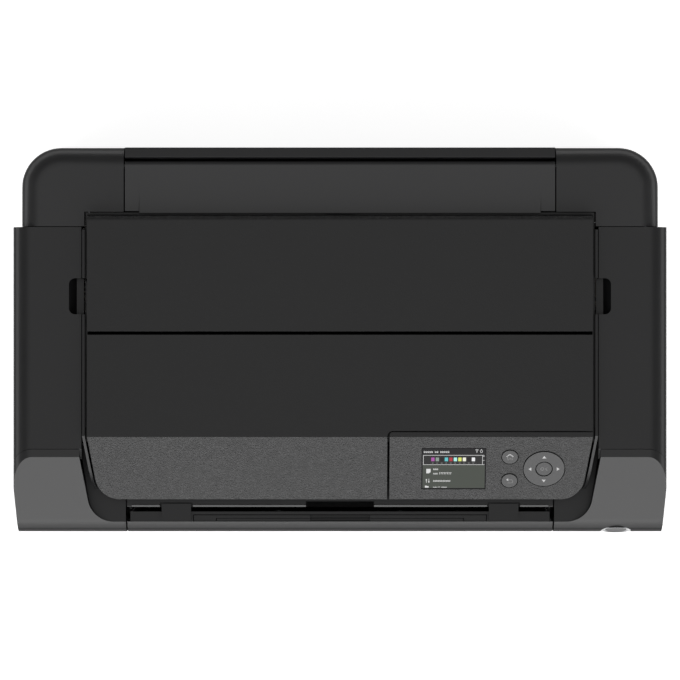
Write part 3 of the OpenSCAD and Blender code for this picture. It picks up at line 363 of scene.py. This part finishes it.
def soften(o, width):
    """Joins split corners, bevels the sharp edges by width millimetres and evens the shading."""
    weld = o.modifiers.new("weld", "WELD")
    weld.merge_threshold = 0.01 * MM
    if width:
        flat = o.modifiers.new("flat", "DECIMATE")
        flat.decimate_type = "DISSOLVE"
        flat.angle_limit = math.radians(0.3)
        b = o.modifiers.new("bevel", "BEVEL")
        b.width = width * MM
        b.segments = 2
        b.limit_method = "ANGLE"
        b.angle_limit = SHARP
        b.use_clamp_overlap = True
        b.miter_outer = "MITER_ARC"
    s = o.modifiers.new("soft", "NODES")
    s.node_group = soft
    even = o.modifiers.new("even", "WEIGHTED_NORMAL")
    even.mode = "FACE_AREA"
    even.weight = 100
    even.keep_sharp = True


for sub in frame["record"]["subparts"]:
    # The rear cover's back wall has too many openings to be bevelled as one face.
    crisp = sub["node"] == "rear_cover"
    soften(nodes[sub["node"]], 0 if crisp else BEVEL.get(sub["material_slot"], PLAIN_BEVEL))


# ------------------------------------------------------------------ mesh helpers
def place(origin, x, y, z):
    """A frame with the given axes; lengths inside it are in millimetres."""
    x, y, z = (Vector(v) for v in (x, y, z))
    m = Matrix.Identity(4)
    for i, v in enumerate((x, y, z)):
        m.col[i][:3] = v * MM
    m.col[3][:3] = Vector(origin) * MM
    return m


def mm_box(node):
    """A CAD node's box as (low corner, high corner) in millimetres."""
    lo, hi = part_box(node)
    return Vector(lo) / MM, Vector(hi) / MM


# The sloping panel's direction is the way its keys travel.
press = next(j["axis"] for j in frame["record"]["behaviour"]["joints"] if j["child"] == "ok_button")
S, C = press[1], -press[2]


def on_slope(origin):
    return place(origin, (1, 0, 0), (0, C, S), (0, -S, C))


def window_frame(node, depth):
    """A frame on the slope above the middle of a flat node whose middle lies depth under the panel's face."""
    lo, hi = mm_box(node)
    return on_slope((lo + hi) / 2 + Vector((0, -S, C)) * depth)


KEY_FLANGE = 1.8  # how far a key's hidden flange is wider than its cap
KEY_PROUD = 0.5  # how far a key stands over the panel


def key_frame(node, flange, proud):
    """A frame on the slope at a round key's axis, level with the panel's face."""
    lo, hi = mm_box(node)
    r = (hi.x - lo.x) / 2 - flange
    return on_slope(((lo.x + hi.x) / 2, lo.y + r * C + proud * S, hi.z - r * S - proud * C))


# Frames that look down on the part, at its back, at its front and up at its underside.
def flat_at(x, y, z):
    return place((x, y, z), (1, 0, 0), (0, 1, 0), (0, 0, 1))


def rear_at(x, y, z):
    return place((x, y, z), (-1, 0, 0), (0, 0, 1), (0, 1, 0))


def front_at(x, y, z):
    return place((x, y, z), (1, 0, 0), (0, 0, 1), (0, -1, 0))


def under_at(x, y, z):
    return place((x, y, z), (1, 0, 0), (0, -1, 0), (0, 0, -1))


class Builder:
    """Collects closed prisms in one mesh."""

    def __init__(self):
        self.bm = bmesh.new()

    def prism(self, pts, z0, z1, m, inset=0.0):
        """Closed prism over a millimetre outline; inset pulls the top in, for a small chamfer."""
        n = len(pts)
        cx = sum(p[0] for p in pts) / n
        cy = sum(p[1] for p in pts) / n
        rings = [(z0, 0.0), (z1 - inset, 0.0), (z1, inset)] if inset else [(z0, 0.0), (z1, 0.0)]
        rows = []
        for z, k in rings:
            row = []
            for x, y in pts:
                d = math.hypot(x - cx, y - cy) or 1.0
                row.append(self.bm.verts.new(m @ Vector((x - (x - cx) / d * k, y - (y - cy) / d * k, z))))
            rows.append(row)
        for a, b in zip(rows, rows[1:]):
            for i in range(n):
                j = (i + 1) % n
                self.bm.faces.new((a[i], a[j], b[j], b[i]))
        self.bm.faces.new(rows[-1])
        self.bm.faces.new(list(reversed(rows[0])))

    def box(self, x0, x1, y0, y1, z0, z1, m, inset=0.0):
        self.prism([(x0, y0), (x1, y0), (x1, y1), (x0, y1)], z0, z1, m, inset)

    def ring(self, cx, cy, r0, r1, z0, z1, m, steps=32, a0=0.0, a1=360.0):
        """A flat ring, or part of one."""
        full = abs(a1 - a0) >= 359.9
        count = steps if full else steps + 1
        pts = [math.radians(a0 + (a1 - a0) * i / steps) for i in range(count)]
        rows = [[self.bm.verts.new(m @ Vector((cx + r * math.cos(a), cy + r * math.sin(a), z))) for a in pts]
                for r, z in ((r0, z0), (r1, z0), (r1, z1), (r0, z1))]
        last = count if full else count - 1
        for k in range(4):
            a, b = rows[k], rows[(k + 1) % 4]
            for i in range(last):
                j = (i + 1) % count
                self.bm.faces.new((a[i], a[j], b[j], b[i]))
        if not full:
            self.bm.faces.new([rows[k][0] for k in range(4)])
            self.bm.faces.new([rows[k][-1] for k in (3, 2, 1, 0)])

    def dome(self, cx, cy, r, z0, z1, m, steps, rows):
        """A shallow domed disc."""
        prev = None
        for k in range(rows + 1):
            f = k / rows
            rr = r * math.cos(f * math.pi / 2)
            zz = z0 + (z1 - z0) * math.sin(f * math.pi / 2)
            if k == rows:
                top = self.bm.verts.new(m @ Vector((cx, cy, zz)))
                for i in range(steps):
                    self.bm.faces.new((prev[i], prev[(i + 1) % steps], top))
                break
            row = [self.bm.verts.new(m @ Vector((cx + rr * math.cos(2 * math.pi * i / steps),
                                                 cy + rr * math.sin(2 * math.pi * i / steps), zz)))
                   for i in range(steps)]
            if prev:
                for i in range(steps):
                    j = (i + 1) % steps
                    self.bm.faces.new((prev[i], prev[j], row[j], row[i]))
            else:
                self.bm.faces.new(list(reversed(row)))
            prev = row

    def tube(self, pts, r, sides=8):
        """Round wire along points in the row frame, in millimetres, with closed ends."""
        pts = [Vector(p) * MM for p in pts]
        rows = []
        up = Vector((0.013, 0.021, 1.0)).normalized()
        for i, p in enumerate(pts):
            t = (pts[min(i + 1, len(pts) - 1)] - pts[max(i - 1, 0)]).normalized()
            a = t.cross(up)
            a = (a if a.length > 1e-6 else t.cross(Vector((1, 0, 0)))).normalized()
            b = t.cross(a).normalized()
            rows.append([self.bm.verts.new(p + (a * math.cos(2 * math.pi * k / sides)
                                                + b * math.sin(2 * math.pi * k / sides)) * r * MM)
                         for k in range(sides)])
        for a, b in zip(rows, rows[1:]):
            for i in range(sides):
                j = (i + 1) % sides
                self.bm.faces.new((a[i], a[j], b[j], b[i]))
        self.bm.faces.new(list(reversed(rows[0])))
        self.bm.faces.new(rows[-1])

    def done(self, name, mat, body, bevel=0.0, smooth=True):
        """Makes the piece and hands it to its body and slot."""
        bmesh.ops.recalc_face_normals(self.bm, faces=self.bm.faces[:])
        me = bpy.data.meshes.new(name)
        self.bm.to_mesh(me)
        self.bm.free()
        me.materials.append(mat)
        o = bpy.data.objects.new(name, me)
        scene.collection.objects.link(o)
        if bevel:
            b = o.modifiers.new("bevel", "BEVEL")
            b.width = bevel * MM
            b.segments = 2
            b.limit_method = "ANGLE"
            b.angle_limit = math.radians(35)
            b.use_clamp_overlap = True
        if smooth:
            s = o.modifiers.new("soft", "NODES")
            s.node_group = soft
        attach(o, body)


def rounded(x0, x1, y0, y1, r, steps=6):
    """Outline of a rectangle with round corners."""
    pts = []
    for cx, cy, a in ((x1 - r, y1 - r, 0), (x0 + r, y1 - r, 90), (x0 + r, y0 + r, 180), (x1 - r, y0 + r, 270)):
        for i in range(steps + 1):
            t = math.radians(a + 90 * i / steps)
            pts.append((cx + r * math.cos(t), cy + r * math.sin(t)))
    return pts


def stroke(x0, y0, x1, y1, w):
    """Outline of a straight stroke of width w."""
    d = math.hypot(x1 - x0, y1 - y0)
    nx, ny = -(y1 - y0) / d * w / 2, (x1 - x0) / d * w / 2
    return [(x0 + nx, y0 + ny), (x0 - nx, y0 - ny), (x1 - nx, y1 - ny), (x1 + nx, y1 + ny)]


# ------------------------------------------------------------------ display
LCD = window_frame("lcd_window", 0.85)
GLASS = -0.2  # the picture lies this far under the panel's face
FILM = 0.02  # thickness of its coloured fields
PRINT = 0.045  # height of what lies on them
ui = {k: glow("ui_" + k, c, p) for k, c, p in (
    ("header", (0.026, 0.026, 0.027), 0.85), ("list", (0.080, 0.088, 0.076), 0.85), ("white", (0.80, 0.80, 0.80), 0.8),
    ("dim", (0.30, 0.30, 0.30), 0.8), ("ink_row", (0.040, 0.040, 0.040), 0.8),
    ("magenta", (0.38, 0.10, 0.36), 1.0), ("grey", (0.26, 0.33, 0.29), 0.9), ("matt", (0.030, 0.026, 0.026), 0.8),
    ("cyan", (0.13, 0.52, 0.56), 1.0), ("red", (0.42, 0.05, 0.06), 1.0), ("pale_cyan", (0.42, 0.85, 0.80), 0.95),
    ("yellow", (0.66, 0.72, 0.16), 1.0), ("cream", (0.88, 0.88, 0.74), 0.9), ("pale", (0.85, 0.86, 0.87), 0.9))}


def on_display(name, mat, shapes, height):
    b = Builder()
    for pts in shapes:
        b.prism(pts, GLASS, GLASS + height, LCD)
    b.done(name, mat, "housing", smooth=False)


def glyph_line(x, y, words, h):
    """Rows of small upright marks that read as a line of small print, with no letters in it."""
    out, k = [], 0
    for count in words:
        for i in range(count):
            kind = (k * 7 + i * 3) % 5
            tall = h * (1.0 if kind % 2 else 0.72)
            out.append([(x, y), (x + h * 0.17, y), (x + h * 0.17, y + tall), (x, y + tall)])
            if kind != 3:
                bar = y + h * (0.72 if kind % 2 else 0.0)
                out.append([(x, bar), (x + h * 0.42, bar), (x + h * 0.42, bar + h * 0.16), (x, bar + h * 0.16)])
            if kind in (0, 2, 4):
                out.append([(x + h * 0.30, y), (x + h * 0.46, y), (x + h * 0.46, y + h * 0.62),
                            (x + h * 0.30, y + h * 0.62)])
            x += h * 0.62
            k += 1
        x += h * 0.5
    return out


on_display("display_header", ui["header"], [rounded(-30.4, 30.4, 16.4, 22.7, 0.4)], FILM)
on_display("display_list", ui["list"], [rounded(-30.4, 30.4, -22.7, 4.0, 0.4)], FILM)
on_display("display_ink_row", ui["ink_row"], [rounded(-30.4, 30.4, 4.02, 16.2, 0.2)], FILM)
frame_lines = [stroke(-30.0, 15.5, 29.9, 15.5, 0.45), stroke(-30.0, 4.6, 29.9, 4.6, 0.45),
               stroke(-29.8, 4.6, -29.8, 15.5, 0.45), stroke(28.0, 4.6, 28.0, 15.5, 0.40)]
frame_lines += [stroke(28.4, y, 29.9, y, 0.45) for y in (14.2, 9.6)]
words = glyph_line(-29.4, 18.3, (5, 2, 5), 3.0)
words += glyph_line(-19.9, -1.7, (3,), 2.7)
words += glyph_line(-19.9, -6.7, (3, 8), 2.5)
words += glyph_line(-19.9, -15.2, (11,), 2.5)
words += glyph_line(-19.9, -22.2, (4, 3, 6), 1.5)
page = [(-26.8, -0.3), (-26.8, -5.5), (-24.2, -5.5), (-22.6, -4.0), (-22.6, -0.3)]
folder = [(-28.0, -22.2), (-24.4, -22.2), (-24.4, -20.4), (-26.0, -20.4), (-26.4, -19.9), (-28.0, -19.9)]
arrows = [stroke(-26.6, -16.5, -26.6, -12.2, 0.5), [(-27.5, -13.6), (-25.7, -13.6), (-26.6, -11.8)],
          stroke(-24.2, -11.9, -24.2, -16.2, 0.5), [(-25.1, -15.0), (-24.2, -16.8), (-23.3, -15.0)]]
aerial = [stroke(22.4, 18.4, 22.4, 21.4, 0.5), stroke(20.8, 21.6, 22.4, 22.5, 0.4),
          stroke(22.4, 22.5, 24.0, 21.6, 0.4), stroke(21.4, 20.4, 22.4, 21.0, 0.35),
          stroke(22.4, 21.0, 23.4, 20.4, 0.35)]
drop = [stroke(26.8, 22.4, 25.7, 20.2, 0.4), stroke(26.8, 22.4, 27.9, 20.2, 0.4),
        stroke(25.7, 20.2, 26.1, 18.6, 0.4), stroke(27.9, 20.2, 27.5, 18.6, 0.4),
        stroke(26.1, 18.6, 27.5, 18.6, 0.4)]
on_display("display_white", ui["white"], frame_lines + words + [page, folder] + arrows + aerial + drop, PRINT)
labels = []
for i, key in enumerate(("magenta", "grey", "matt", "cyan", "red", "pale_cyan", "yellow", "cream", "matt", "pale")):
    cx = -20.5 + i * 4.40
    on_display("display_ink_%d" % i, ui[key], [rounded(cx - 1.6, cx + 1.6, 8.6, 12.9, 0.3)], PRINT)
    labels += glyph_line(cx - 0.9, 6.0, (2,), 1.5)
on_display("display_labels", ui["dim"], labels, PRINT)

# ------------------------------------------------------------------ icons on the keys
mark = paint("key_mark", (0.55, 0.55, 0.55), 0.5)
faint = paint("key_mark_faint", (0.20, 0.20, 0.20), 0.5)
MARK = (KEY_PROUD - 0.01, KEY_PROUD + 0.03)  # a mark's lower and upper side over the panel
OK_MARK = (0.29, 0.33)  # the same on the middle key, which lies lower
b = Builder()
m = key_frame("home_button", KEY_FLANGE, KEY_PROUD)
for pts in (stroke(-3.3, 0.6, 0.0, 3.4, 0.75), stroke(0.0, 3.4, 3.3, 0.6, 0.75)):
    b.prism(pts, *MARK, m)
b.done("home_mark_roof", mark, "home_button", smooth=False)
b = Builder()
for pts in (stroke(-2.3, 1.2, -2.3, -3.0, 0.5), stroke(2.3, 1.2, 2.3, -3.0, 0.5), stroke(-2.5, -3.0, -0.7, -3.0, 0.5),
            stroke(0.7, -3.0, 2.5, -3.0, 0.5), stroke(-0.7, -3.0, -0.7, -0.9, 0.4), stroke(0.7, -3.0, 0.7, -0.9, 0.4)):
    b.prism(pts, *MARK, m)
b.done("home_mark_walls", faint, "home_button", smooth=False)
m = key_frame("back_button", KEY_FLANGE, KEY_PROUD)
b = Builder()
b.prism([(-3.4, 1.3), (-1.2, 2.7), (-1.2, -0.1)], *MARK, m)
b.done("back_mark_head", mark, "back_button", smooth=False)
b = Builder()
b.prism(stroke(-1.6, 1.3, 1.4, 1.3, 0.55), *MARK, m)
b.ring(1.4, -0.55, 1.6, 2.15, *MARK, m, 14, -90, 90)
b.prism(stroke(-2.0, -2.43, 1.4, -2.43, 0.55), *MARK, m)
b.done("back_mark_tail", faint, "back_button", smooth=False)
m = key_frame("four_way_ring", KEY_FLANGE, KEY_PROUD)
b = Builder()
for i in range(4):
    a = math.radians(90 * i)
    arrow = [(15.2, 0.0), (12.4, 2.0), (12.4, -2.0)]
    b.prism([(x * math.cos(a) - y * math.sin(a), x * math.sin(a) + y * math.cos(a)) for x, y in arrow], *MARK, m)
b.done("ring_marks", mark, "four_way_ring", smooth=False)
b = Builder()
b.ring(-1.75, 0.0, 1.25, 1.85, *OK_MARK, m, 24)
for pts in (stroke(1.3, 0.0, 3.0, 1.75, 0.6), stroke(1.3, 0.0, 3.0, -1.75, 0.6)):
    b.prism(pts, *OK_MARK, m)
b.done("ok_mark", faint, "ok_button", smooth=False)

# ------------------------------------------------------------------ ink tanks
TANK_COLOURS = ((0.42, 0.03, 0.22), (0.16, 0.17, 0.17), (0.012, 0.012, 0.012), (0.01, 0.22, 0.50), (0.50, 0.02, 0.02),
                (0.20, 0.55, 0.60), (0.62, 0.52, 0.03), (0.35, 0.33, 0.28), (0.03, 0.03, 0.03), (0.55, 0.56, 0.57))
HALF_TANK = 6.0
lo, hi = mm_box("ink_tanks")
pitch = (hi.x - lo.x - 2 * HALF_TANK) / (len(TANK_COLOURS) - 1)
for i, rgb in enumerate(TANK_COLOURS):
    m = flat_at(lo.x + HALF_TANK + pitch * i, 0, hi.z)
    b = Builder()
    b.prism(rounded(-4.6, 4.6, lo.y + 24, hi.y - 6, 1.0), -0.01, 0.14, m, 0.05)
    b.prism(rounded(-4.6, 4.6, lo.y + 15, lo.y + 21, 1.0), -0.01, 0.14, m, 0.05)
    b.done("tank_label_%d" % i, paint("tank_label_%d" % i, rgb, 0.45), "carriage", smooth=False)
b = Builder()
for i in range(len(TANK_COLOURS)):
    m = flat_at(lo.x + HALF_TANK + pitch * i, 0, hi.z)
    for k in range(3):
        b.box(-3.2, 3.2 - k, lo.y + 34 + k * 3.2, lo.y + 35.4 + k * 3.2, 0.13, 0.19, m)
    b.prism([(-2.2, hi.y - 14), (2.2, hi.y - 14), (0, hi.y - 10)], 0.13, 0.19, m)
b.done("tank_marks", paint("tank_marks", (0.75, 0.75, 0.74), 0.5), "carriage", smooth=False)

# ------------------------------------------------------------------ painted shade: a near-black strip under the cover's seam
# A near-black, almost unreflective strip under the seam, which paints the seam's gap as shade.
seam_shade_graph = Graph("seam_shade_mat")
seam_shade_nap = seam_shade_graph.noise(0.0005, 4.0, 0.7)
seam_shade_colour = seam_shade_graph.mix(seam_shade_graph.ramp(seam_shade_nap, 0.3, 0.7), (0.0015, 0.0015, 0.0015), (0.003, 0.003, 0.003))
seam_shade_mat = seam_shade_graph.finish(seam_shade_colour, seam_shade_graph.ramp(seam_shade_nap, 0.3, 0.7, 0.90, 0.98), seam_shade_graph.bump(seam_shade_nap, 0.0001),
                     Specular_IOR_Level=0.03)
SEAT_Z = 187.0  # the shelf that the access cover's front edge rests over
lo, hi = mm_box("top_cover")
b = Builder()
b.prism(rounded(-hi.x, hi.x, lo.y - 4.8, lo.y + 1.6, 1.0), SEAT_Z - 0.02, SEAT_Z + 0.9, flat_at(0, 0, 0), 0.3)
b.done("seam_shade_strip", seam_shade_mat, "housing", bevel=0.1)

# ------------------------------------------------------------------ paper path and tray details
ridge_mat = plastic("ridge_black", (0.012, 0.012, 0.0125), 0.34, 0.0006, 0.00001, spec=0.6)
foam = rubber("platen_foam", (0.30, 0.29, 0.25), 0.9, 0.0006)
PLATEN_Z = 89.0  # floor of the platen's troughs
lo, hi = mm_box("platen")
b = Builder()
for i in range(14):
    x = lo.x + 13.5 + 22 * i
    b.prism(rounded(x, x + 17, 44, 88, 1.5), PLATEN_Z - 0.02, PLATEN_Z + 2.2, flat_at(0, 0, 0), 0.5)
b.done("platen_foam", foam, "housing", bevel=0.2)

LINER_BACK = -167.6  # Y of the liner's inner face
m = place((0, LINER_BACK, 0), (1, 0, 0), (0, 0, 1), (0, 1, 0))
b = Builder()
for i in range(-5, 6):
    b.prism(rounded(38 * i - 0.8, 38 * i + 0.8, 34, 142, 0.7), -0.02, 0.8, m, 0.3)
b.done("liner_ribs", mats["frame_black"], "output_tray", bevel=0.1)
b = Builder()
for x in (-60, 60):
    b.prism([(x - 5, 128), (x + 5, 128), (x, 134)], -0.02, 0.12, m)
    b.prism(rounded(x - 1.4, x + 1.4, 118, 127, 0.4), -0.02, 0.12, m)
b.done("liner_arrows", mark, "output_tray", smooth=False)

# A low ridge along the beam's front edge, drawn in Y and Z, with gaps for the two catches and the finger notch.
m = place((0, 0, 0), (0, 1, 0), (0, 0, 1), (1, 0, 0))
ridge = [(-160.2, 151.9), (-160.2, 152.3), (-160.9, 152.6), (-162.9, 151.5), (-162.9, 150.4), (-161.4, 150.4)]
b = Builder()
for x0, x1 in ((-205, -177.4), (-144.6, -33.6), (33.6, 144.6), (177.4, 205)):
    b.prism(ridge, x0, x1, m)
b.done("beam_ridge", ridge_mat, "housing", bevel=0.25)

# Pads that fill the base pan's front corners.
b = Builder()
for x in (-208.6, 208.6):
    b.prism(rounded(x - 3.6, x + 3.6, -172.2, -167.9, 0.5), 6.0, 8.0, flat_at(0, 0, 0), 0.2)
b.done("pan_pads", mats["frame_black"], "housing", bevel=0.1)

# Tread rings on the pickup rollers.
lo, hi = mm_box("pickup_roller")
axis_y, axis_z = (lo.y + hi.y) / 2, (lo.z + hi.z) / 2
tread = rubber("pickup_tread", (0.10, 0.10, 0.105), 0.75, 0.0006)
b = Builder()
for x in (-58, 30):
    m = place((x, axis_y, axis_z), (0, 1, 0), (0, 0, 1), (1, 0, 0))
    for k in range(6):
        b.ring(0, 0, 10.3, 10.85, 1.5 + k * 4.5, 4.0 + k * 4.5, m, 48)
b.done("pickup_tread", tread, "pickup_roller", bevel=0.1)

# ------------------------------------------------------------------ boards and motors
lo, hi = mm_box("main_board")
m = front_at(0, hi.y - 1.6, 0)
CHIPS = ((-276, 84, 16, 16), (-232, 92, 12, 10), (-250, 70, 10, 14), (-226, 132, 8, 8))  # middle and size
b = Builder()
for cx, cz, w, h in CHIPS:
    b.box(cx - w / 2, cx + w / 2, cz - h / 2, cz + h / 2, 0.3, 1.8, m, 0.2)
b.done("board_chips", mats["frame_black"], "housing")
b = Builder()
for cx, cz, w, h in CHIPS:
    n = int(w / 1.2)
    for k in range(n):
        x = cx - w / 2 + (k + 0.5) * w / n
        for z in (cz - h / 2 - 0.9, cz + h / 2 - 0.1):
            b.box(x - 0.25, x + 0.25, z, z + 1.0, -0.01, 0.5, m)
for k in range(18):
    x, z = -292 + (k % 6) * 4.2, 62 + (k // 6) * 2.6
    b.box(x, x + 1.8, z, z + 0.9, -0.01, 0.7, m)
b.done("board_pins", mats["socket_metal"], "housing", smooth=False)
b = Builder()
for cx, cz, r in ((-222, 60, 4), (-222, 72, 4), (-232, 50, 3), (-222, 110, 3.2), (-244, 96, 3.2)):
    b.ring(cx, cz, 0.4, r, -0.01, 7.5, m, 28)
    b.dome(cx, cz, r, 7.4, 7.8, m, 28, 3)
b.done("board_capacitors", mats["supply_case"], "housing", bevel=0.2)

lo, hi = mm_box("carriage_motor")
cx, cy = (lo.x + hi.x) / 2, (lo.y + hi.y) / 2
b = Builder()
for k in range(2):
    x = cx + 3 * k
    b.tube([(x + 6, cy - 10, lo.z + 1), (x + 6, cy - 10, lo.z - 10), (x + 14, cy - 6, lo.z - 26),
            (x + 16, cy + 4, lo.z - 44)], 0.7)
b.done("motor_wires", paint("wire_red", (0.40, 0.03, 0.03), 0.45), "housing")
b = Builder()
m = flat_at(cx, cy, hi.z - 1.5)
for a in range(0, 360, 60):
    t = math.radians(a + 15)
    b.dome(10.5 * math.cos(t), 10.5 * math.sin(t), 1.1, -0.05, 0.5, m, 12, 3)
b.done("motor_screws", mats["screw_black"], "housing")

# ------------------------------------------------------------------ back wall and underside
m = rear_at(0, mm_box("rear_cover")[1].y, 0)
b = Builder()
b.prism(rounded(60, 140, 46, 84, 1.5), -0.02, 0.15, m, 0.05)
b.done("blank_plate", paint("blank_plate", (0.045, 0.045, 0.047), 0.35), "housing", smooth=False)
b = Builder()
for k, w in enumerate((58, 44, 52, 30)):
    b.box(66, 66 + w, 76 - k * 6, 77.6 - k * 6, 0.14, 0.18, m)
b.prism(rounded(122, 134, 52, 64, 0.8), 0.14, 0.18, m)
b.done("blank_plate_bars", faint, "housing", smooth=False)

m = under_at(0, 0, mm_box("base_pan")[0].z)
b = Builder()
for x in range(-240, 241, 60):
    b.prism(rounded(x - 1.0, x + 1.0, -160, 128, 0.9), -0.02, 0.9, m, 0.3)
for y in range(-150, 121, 54):
    b.prism(rounded(-246, 246, y - 1.0, y + 1.0, 0.9), -0.02, 0.9, m, 0.3)
b.done("underside_ribs", mats["frame_black"], "housing", bevel=0.1)
b = Builder()
for x in (-290, -150, 0, 150, 290):
    for y in (-98, 88):
        b.ring(x, y, 1.0, 3.6, -0.02, 0.8, m, 28)
        b.ring(x, y, 3.9, 5.4, -0.02, 0.5, m, 32)
b.done("underside_screws", mats["screw_black"], "housing", bevel=0.12)
b = Builder()
for x in (-160, 160):
    for k in range(12):
        b.prism(rounded(x - 22 + k * 4, x - 20.2 + k * 4, -70, -42, 0.8), -0.02, 0.6, m, 0.2)
b.done("underside_grille", mats["frame_black"], "housing", bevel=0.1)

# A blank guide plate inside the access cover.
COVER_WALL = 3.0
m = under_at(0, 0, mm_box("top_cover")[1].z - COVER_WALL)
b = Builder()
b.prism(rounded(-38, 38, -82, -34, 2.0), -0.02, 0.15, m, 0.05)
b.done("cover_guide_plate", paint("guide_plate", (0.55, 0.55, 0.54), 0.4), "top_cover", smooth=False)
b = Builder()
for k, rgb in enumerate(TANK_COLOURS):
    x = -33 + k * 6.9
    b.prism(rounded(x, x + 4.6, -50, -40, 0.6), 0.14, 0.19, m)
for k in range(3):
    b.box(-32, 30 - 9 * k, -64 - 5 * k, -62.4 - 5 * k, 0.14, 0.19, m)
b.done("cover_guide_marks", paint("guide_marks", (0.04, 0.04, 0.042), 0.45), "top_cover", smooth=False)

# ------------------------------------------------------------------ stage and light
floor_g = Graph("floor")
floor_colour = floor_g.mix(floor_g.ramp(floor_g.noise(0.4), 0.3, 0.7), (0.86, 0.86, 0.86), (0.88, 0.88, 0.88))
floor_mat = floor_g.finish(floor_colour, 0.6, Specular_IOR_Level=0.2, Emission_Strength=0.80,
                           Emission_Color=(1.0, 1.0, 1.0, 1.0))
FAR = 9  # metres from the middle to each side of the floor
me = bpy.data.meshes.new("floor")
me.from_pydata([(-FAR, -FAR, 0), (FAR, -FAR, 0), (FAR, FAR, 0), (-FAR, FAR, 0)], [], [(0, 1, 2, 3)])
me.materials.append(floor_mat)
floor = bpy.data.objects.new("floor", me)
scene.collection.objects.link(floor)

world = bpy.data.worlds.new("world")
scene.world = world
world.use_nodes = True
wt = world.node_tree


def w_node(kind, **props):
    node = wt.nodes.new(kind)
    for key, value in props.items():
        setattr(node, key, value)
    return node


def w_ramp(value, lo, hi, a, b):
    r = w_node("ShaderNodeMapRange", clamp=True, interpolation_type="SMOOTHSTEP")
    wt.links.new(value, r.inputs["Value"])
    for key, v in (("From Min", lo), ("From Max", hi), ("To Min", a), ("To Max", b)):
        r.inputs[key].default_value = v
    return r.outputs["Result"]


def w_math(op, a, b):
    m = w_node("ShaderNodeMath", operation=op)
    for socket, v in zip(m.inputs, (a, b)):
        if isinstance(v, float):
            socket.default_value = v
        else:
            wt.links.new(v, socket)
    return m.outputs[0]


# The studio: a low wide softbox in front, dim walls all round and a brighter soft panel overhead.
FRONT_LEVEL, WALL_LEVEL, OVERHEAD_LEVEL = 2.75, 0.20, 0.66
sky = w_node("ShaderNodeSeparateXYZ")
wt.links.new(w_node("ShaderNodeTexCoord").outputs["Generated"], sky.inputs[0])
height, depth = sky.outputs["Z"], sky.outputs["Y"]
front_box = w_math("MULTIPLY", w_ramp(height, 0.00, 0.10, 0.0, 1.0), w_ramp(height, 0.52, 0.78, 1.0, 0.0))
front_box = w_math("MULTIPLY", front_box, w_ramp(depth, -0.35, -0.62, 0.0, 1.0))
light = w_math("ADD", w_math("MULTIPLY", front_box, FRONT_LEVEL),
               w_ramp(height, 0.80, 0.95, WALL_LEVEL, OVERHEAD_LEVEL))
wt.links.new(light, wt.nodes["Background"].inputs[1])
wt.nodes["Background"].inputs[0].default_value = (1.0, 1.0, 1.0, 1.0)

scene.view_settings.view_transform = "Standard"
scene.view_settings.look = "None"
scene.view_settings.exposure = 0.0
